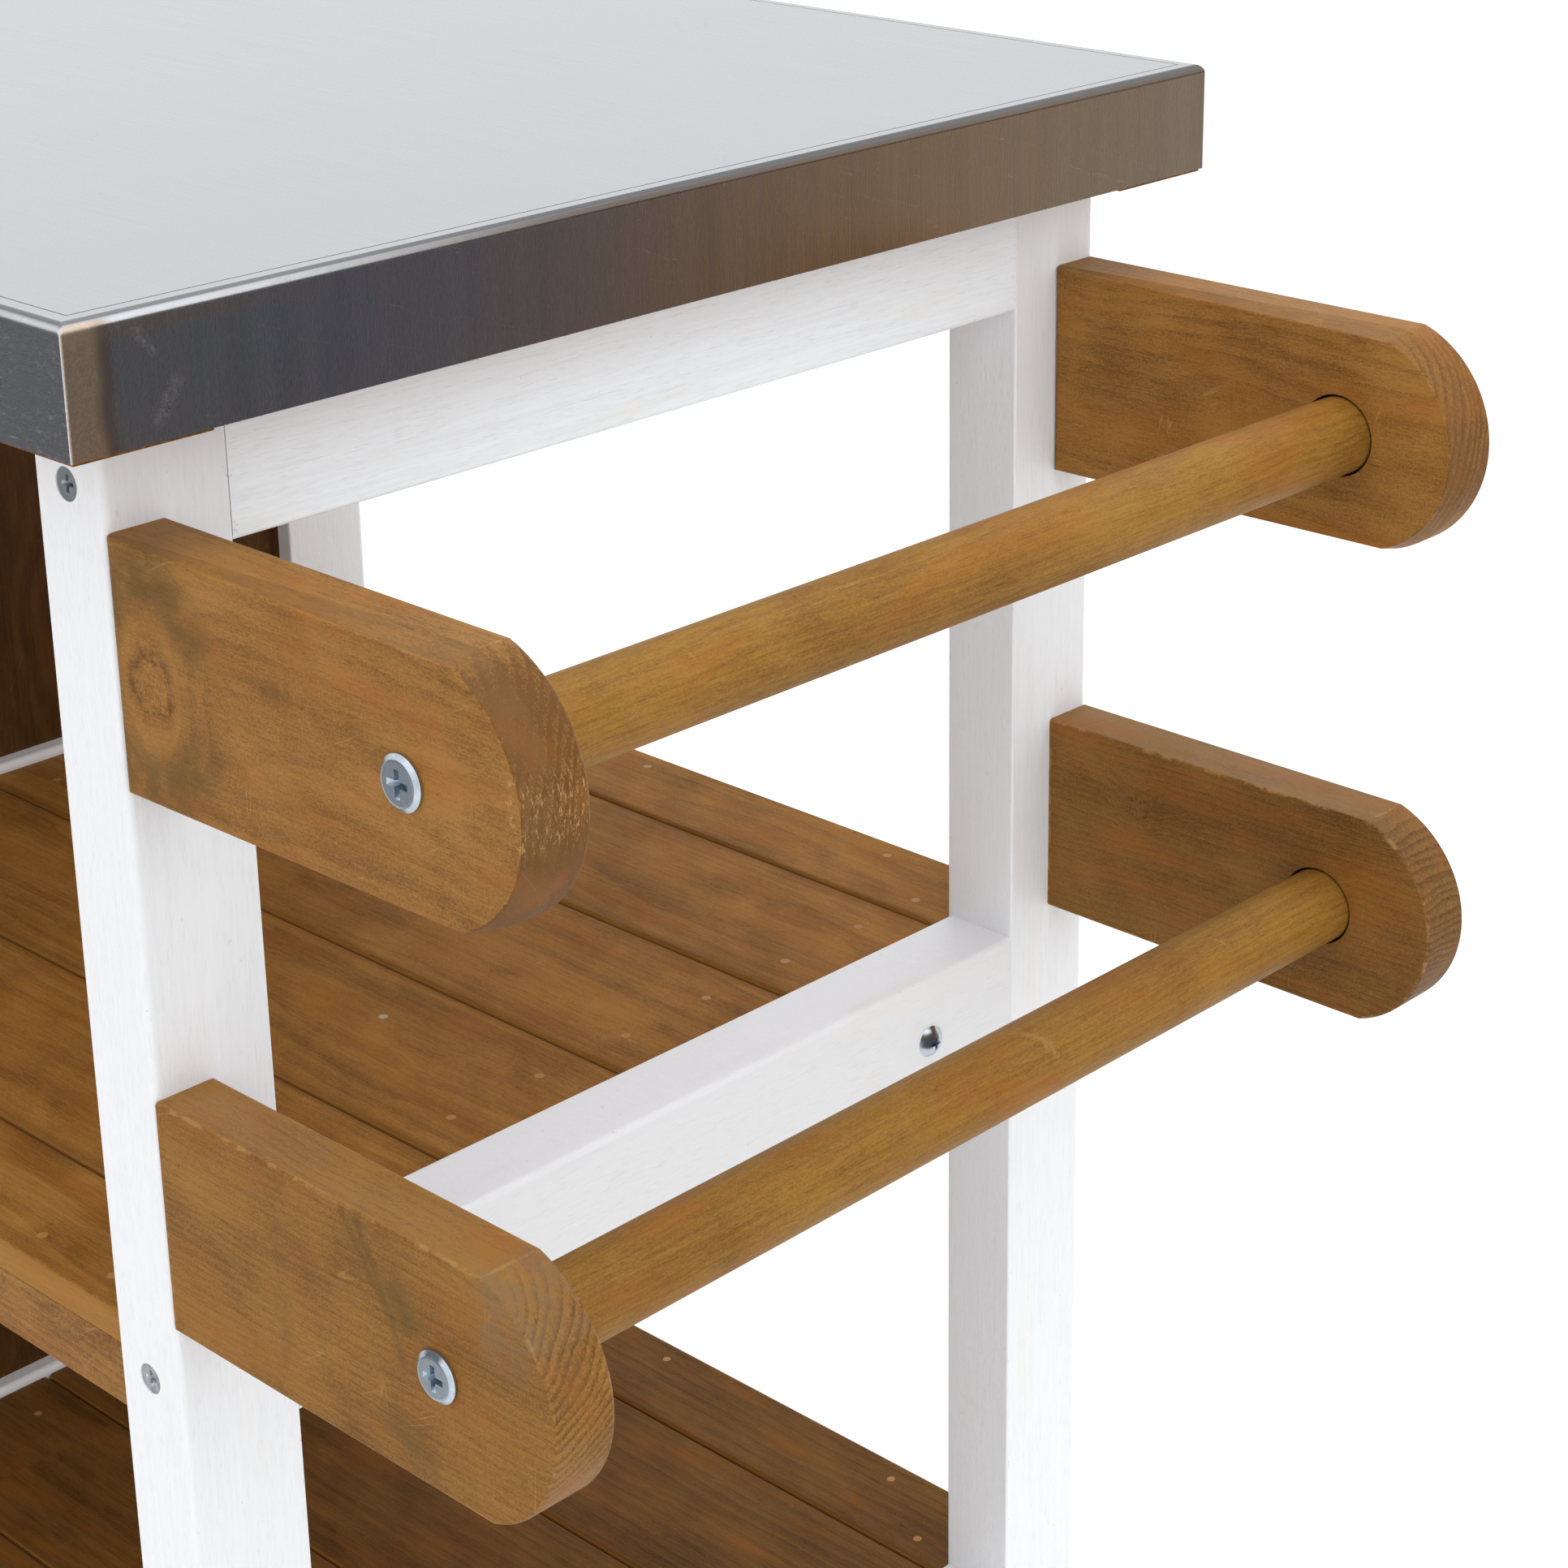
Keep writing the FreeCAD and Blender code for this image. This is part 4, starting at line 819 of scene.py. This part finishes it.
def card(name, corner, run, gradient):
    """A studio card that only shows in glossy reflections; its local x is 0 to 1 along run."""
    mesh = bpy.data.meshes.new(name)
    mesh.from_pydata([(0, 0, 0), (1, 0, 0), (1, 1, 0), (0, 1, 0)], [], [(0, 1, 2, 3)])
    mesh.materials.append(emitter(name + "_tones", gradient))
    piece = bpy.data.objects.new(name, mesh)
    run, rise = Vector(run), Vector(CARD_RISE)
    out = run.cross(rise).normalized()
    turn = Matrix((run, rise, out)).transposed().to_4x4()
    piece.matrix_world = Matrix.Translation(corner) @ turn
    bpy.context.scene.collection.objects.link(piece)
    piece.visible_camera = False
    piece.visible_diffuse = False
    piece.visible_transmission = False
    piece.visible_volume_scatter = False
    piece.visible_shadow = False


def soft_light(name, place, target, size, power):
    data = bpy.data.lights.new(name, "AREA")
    data.shape = "RECTANGLE"
    data.size, data.size_y = size
    data.energy = power
    data.color = WHITE
    lamp = bpy.data.objects.new(name, data)
    lamp.location = place
    aim = Vector(target) - Vector(place)
    lamp.rotation_euler = aim.to_track_quat("-Z", "Y").to_euler()
    bpy.context.scene.collection.objects.link(lamp)
    lamp.visible_camera = False


def pale_floor():
    tree = Tree("floor_pale")
    x, y, _ = tree.place()
    cloud = tree.noise(x * 0.002, y * 0.002, 0.0, detail=2.0)
    mesh = bpy.data.meshes.new("floor")
    corners = [(a * FLOOR_HALF, b * FLOOR_HALF, 0) for a, b in ((-1, -1), (1, -1), (1, 1), (-1, 1))]
    mesh.from_pydata(corners, [], [(0, 1, 2, 3)])
    mesh.materials.append(tree.finish(tree.mix(cloud, FLOOR_PALE, FLOOR_CLOUD), 0.9))
    floor = bpy.data.objects.new("floor", mesh)
    bpy.context.scene.collection.objects.link(floor)


def studio():
    scene = bpy.context.scene
    scene.view_settings.view_transform = "Standard"
    world = bpy.data.worlds.new("studio")
    world.use_nodes = True
    back = world.node_tree.nodes["Background"]
    back.inputs[0].default_value = (*WHITE, 1.0)
    back.inputs[1].default_value = WORLD_GLOW
    scene.world = world
    pale_floor()
    for light in LIGHTS:
        soft_light(*light)
    for one in CARDS:
        card(*one)


def photo_camera():
    """The photograph's viewing angle, with an off-centre view as it has."""
    right = Vector(CAMERA_RIGHT)
    forward = Vector(CAMERA_FORWARD).normalized()
    up = right.cross(forward).normalized()
    right = forward.cross(up)
    data = bpy.data.cameras.new("camera")
    data.lens = CAMERA_LENS
    data.sensor_width = CAMERA_SENSOR
    data.shift_x, data.shift_y = CAMERA_SHIFT
    data.clip_start = CAMERA_NEAR
    camera = bpy.data.objects.new("camera", data)
    turn = Matrix((right, up, -forward)).transposed().to_4x4()
    camera.matrix_world = Matrix.Translation(CAMERA_PLACE) @ turn
    bpy.context.scene.collection.objects.link(camera)
    bpy.context.scene.camera = camera


dress("top_steel_skin", steel_skin())
dress_brackets()
dress_frame()
dress_shelves()
dress_panels()
dress_bars()
dress_core()
dress_small_parts()
studio()
photo_camera()
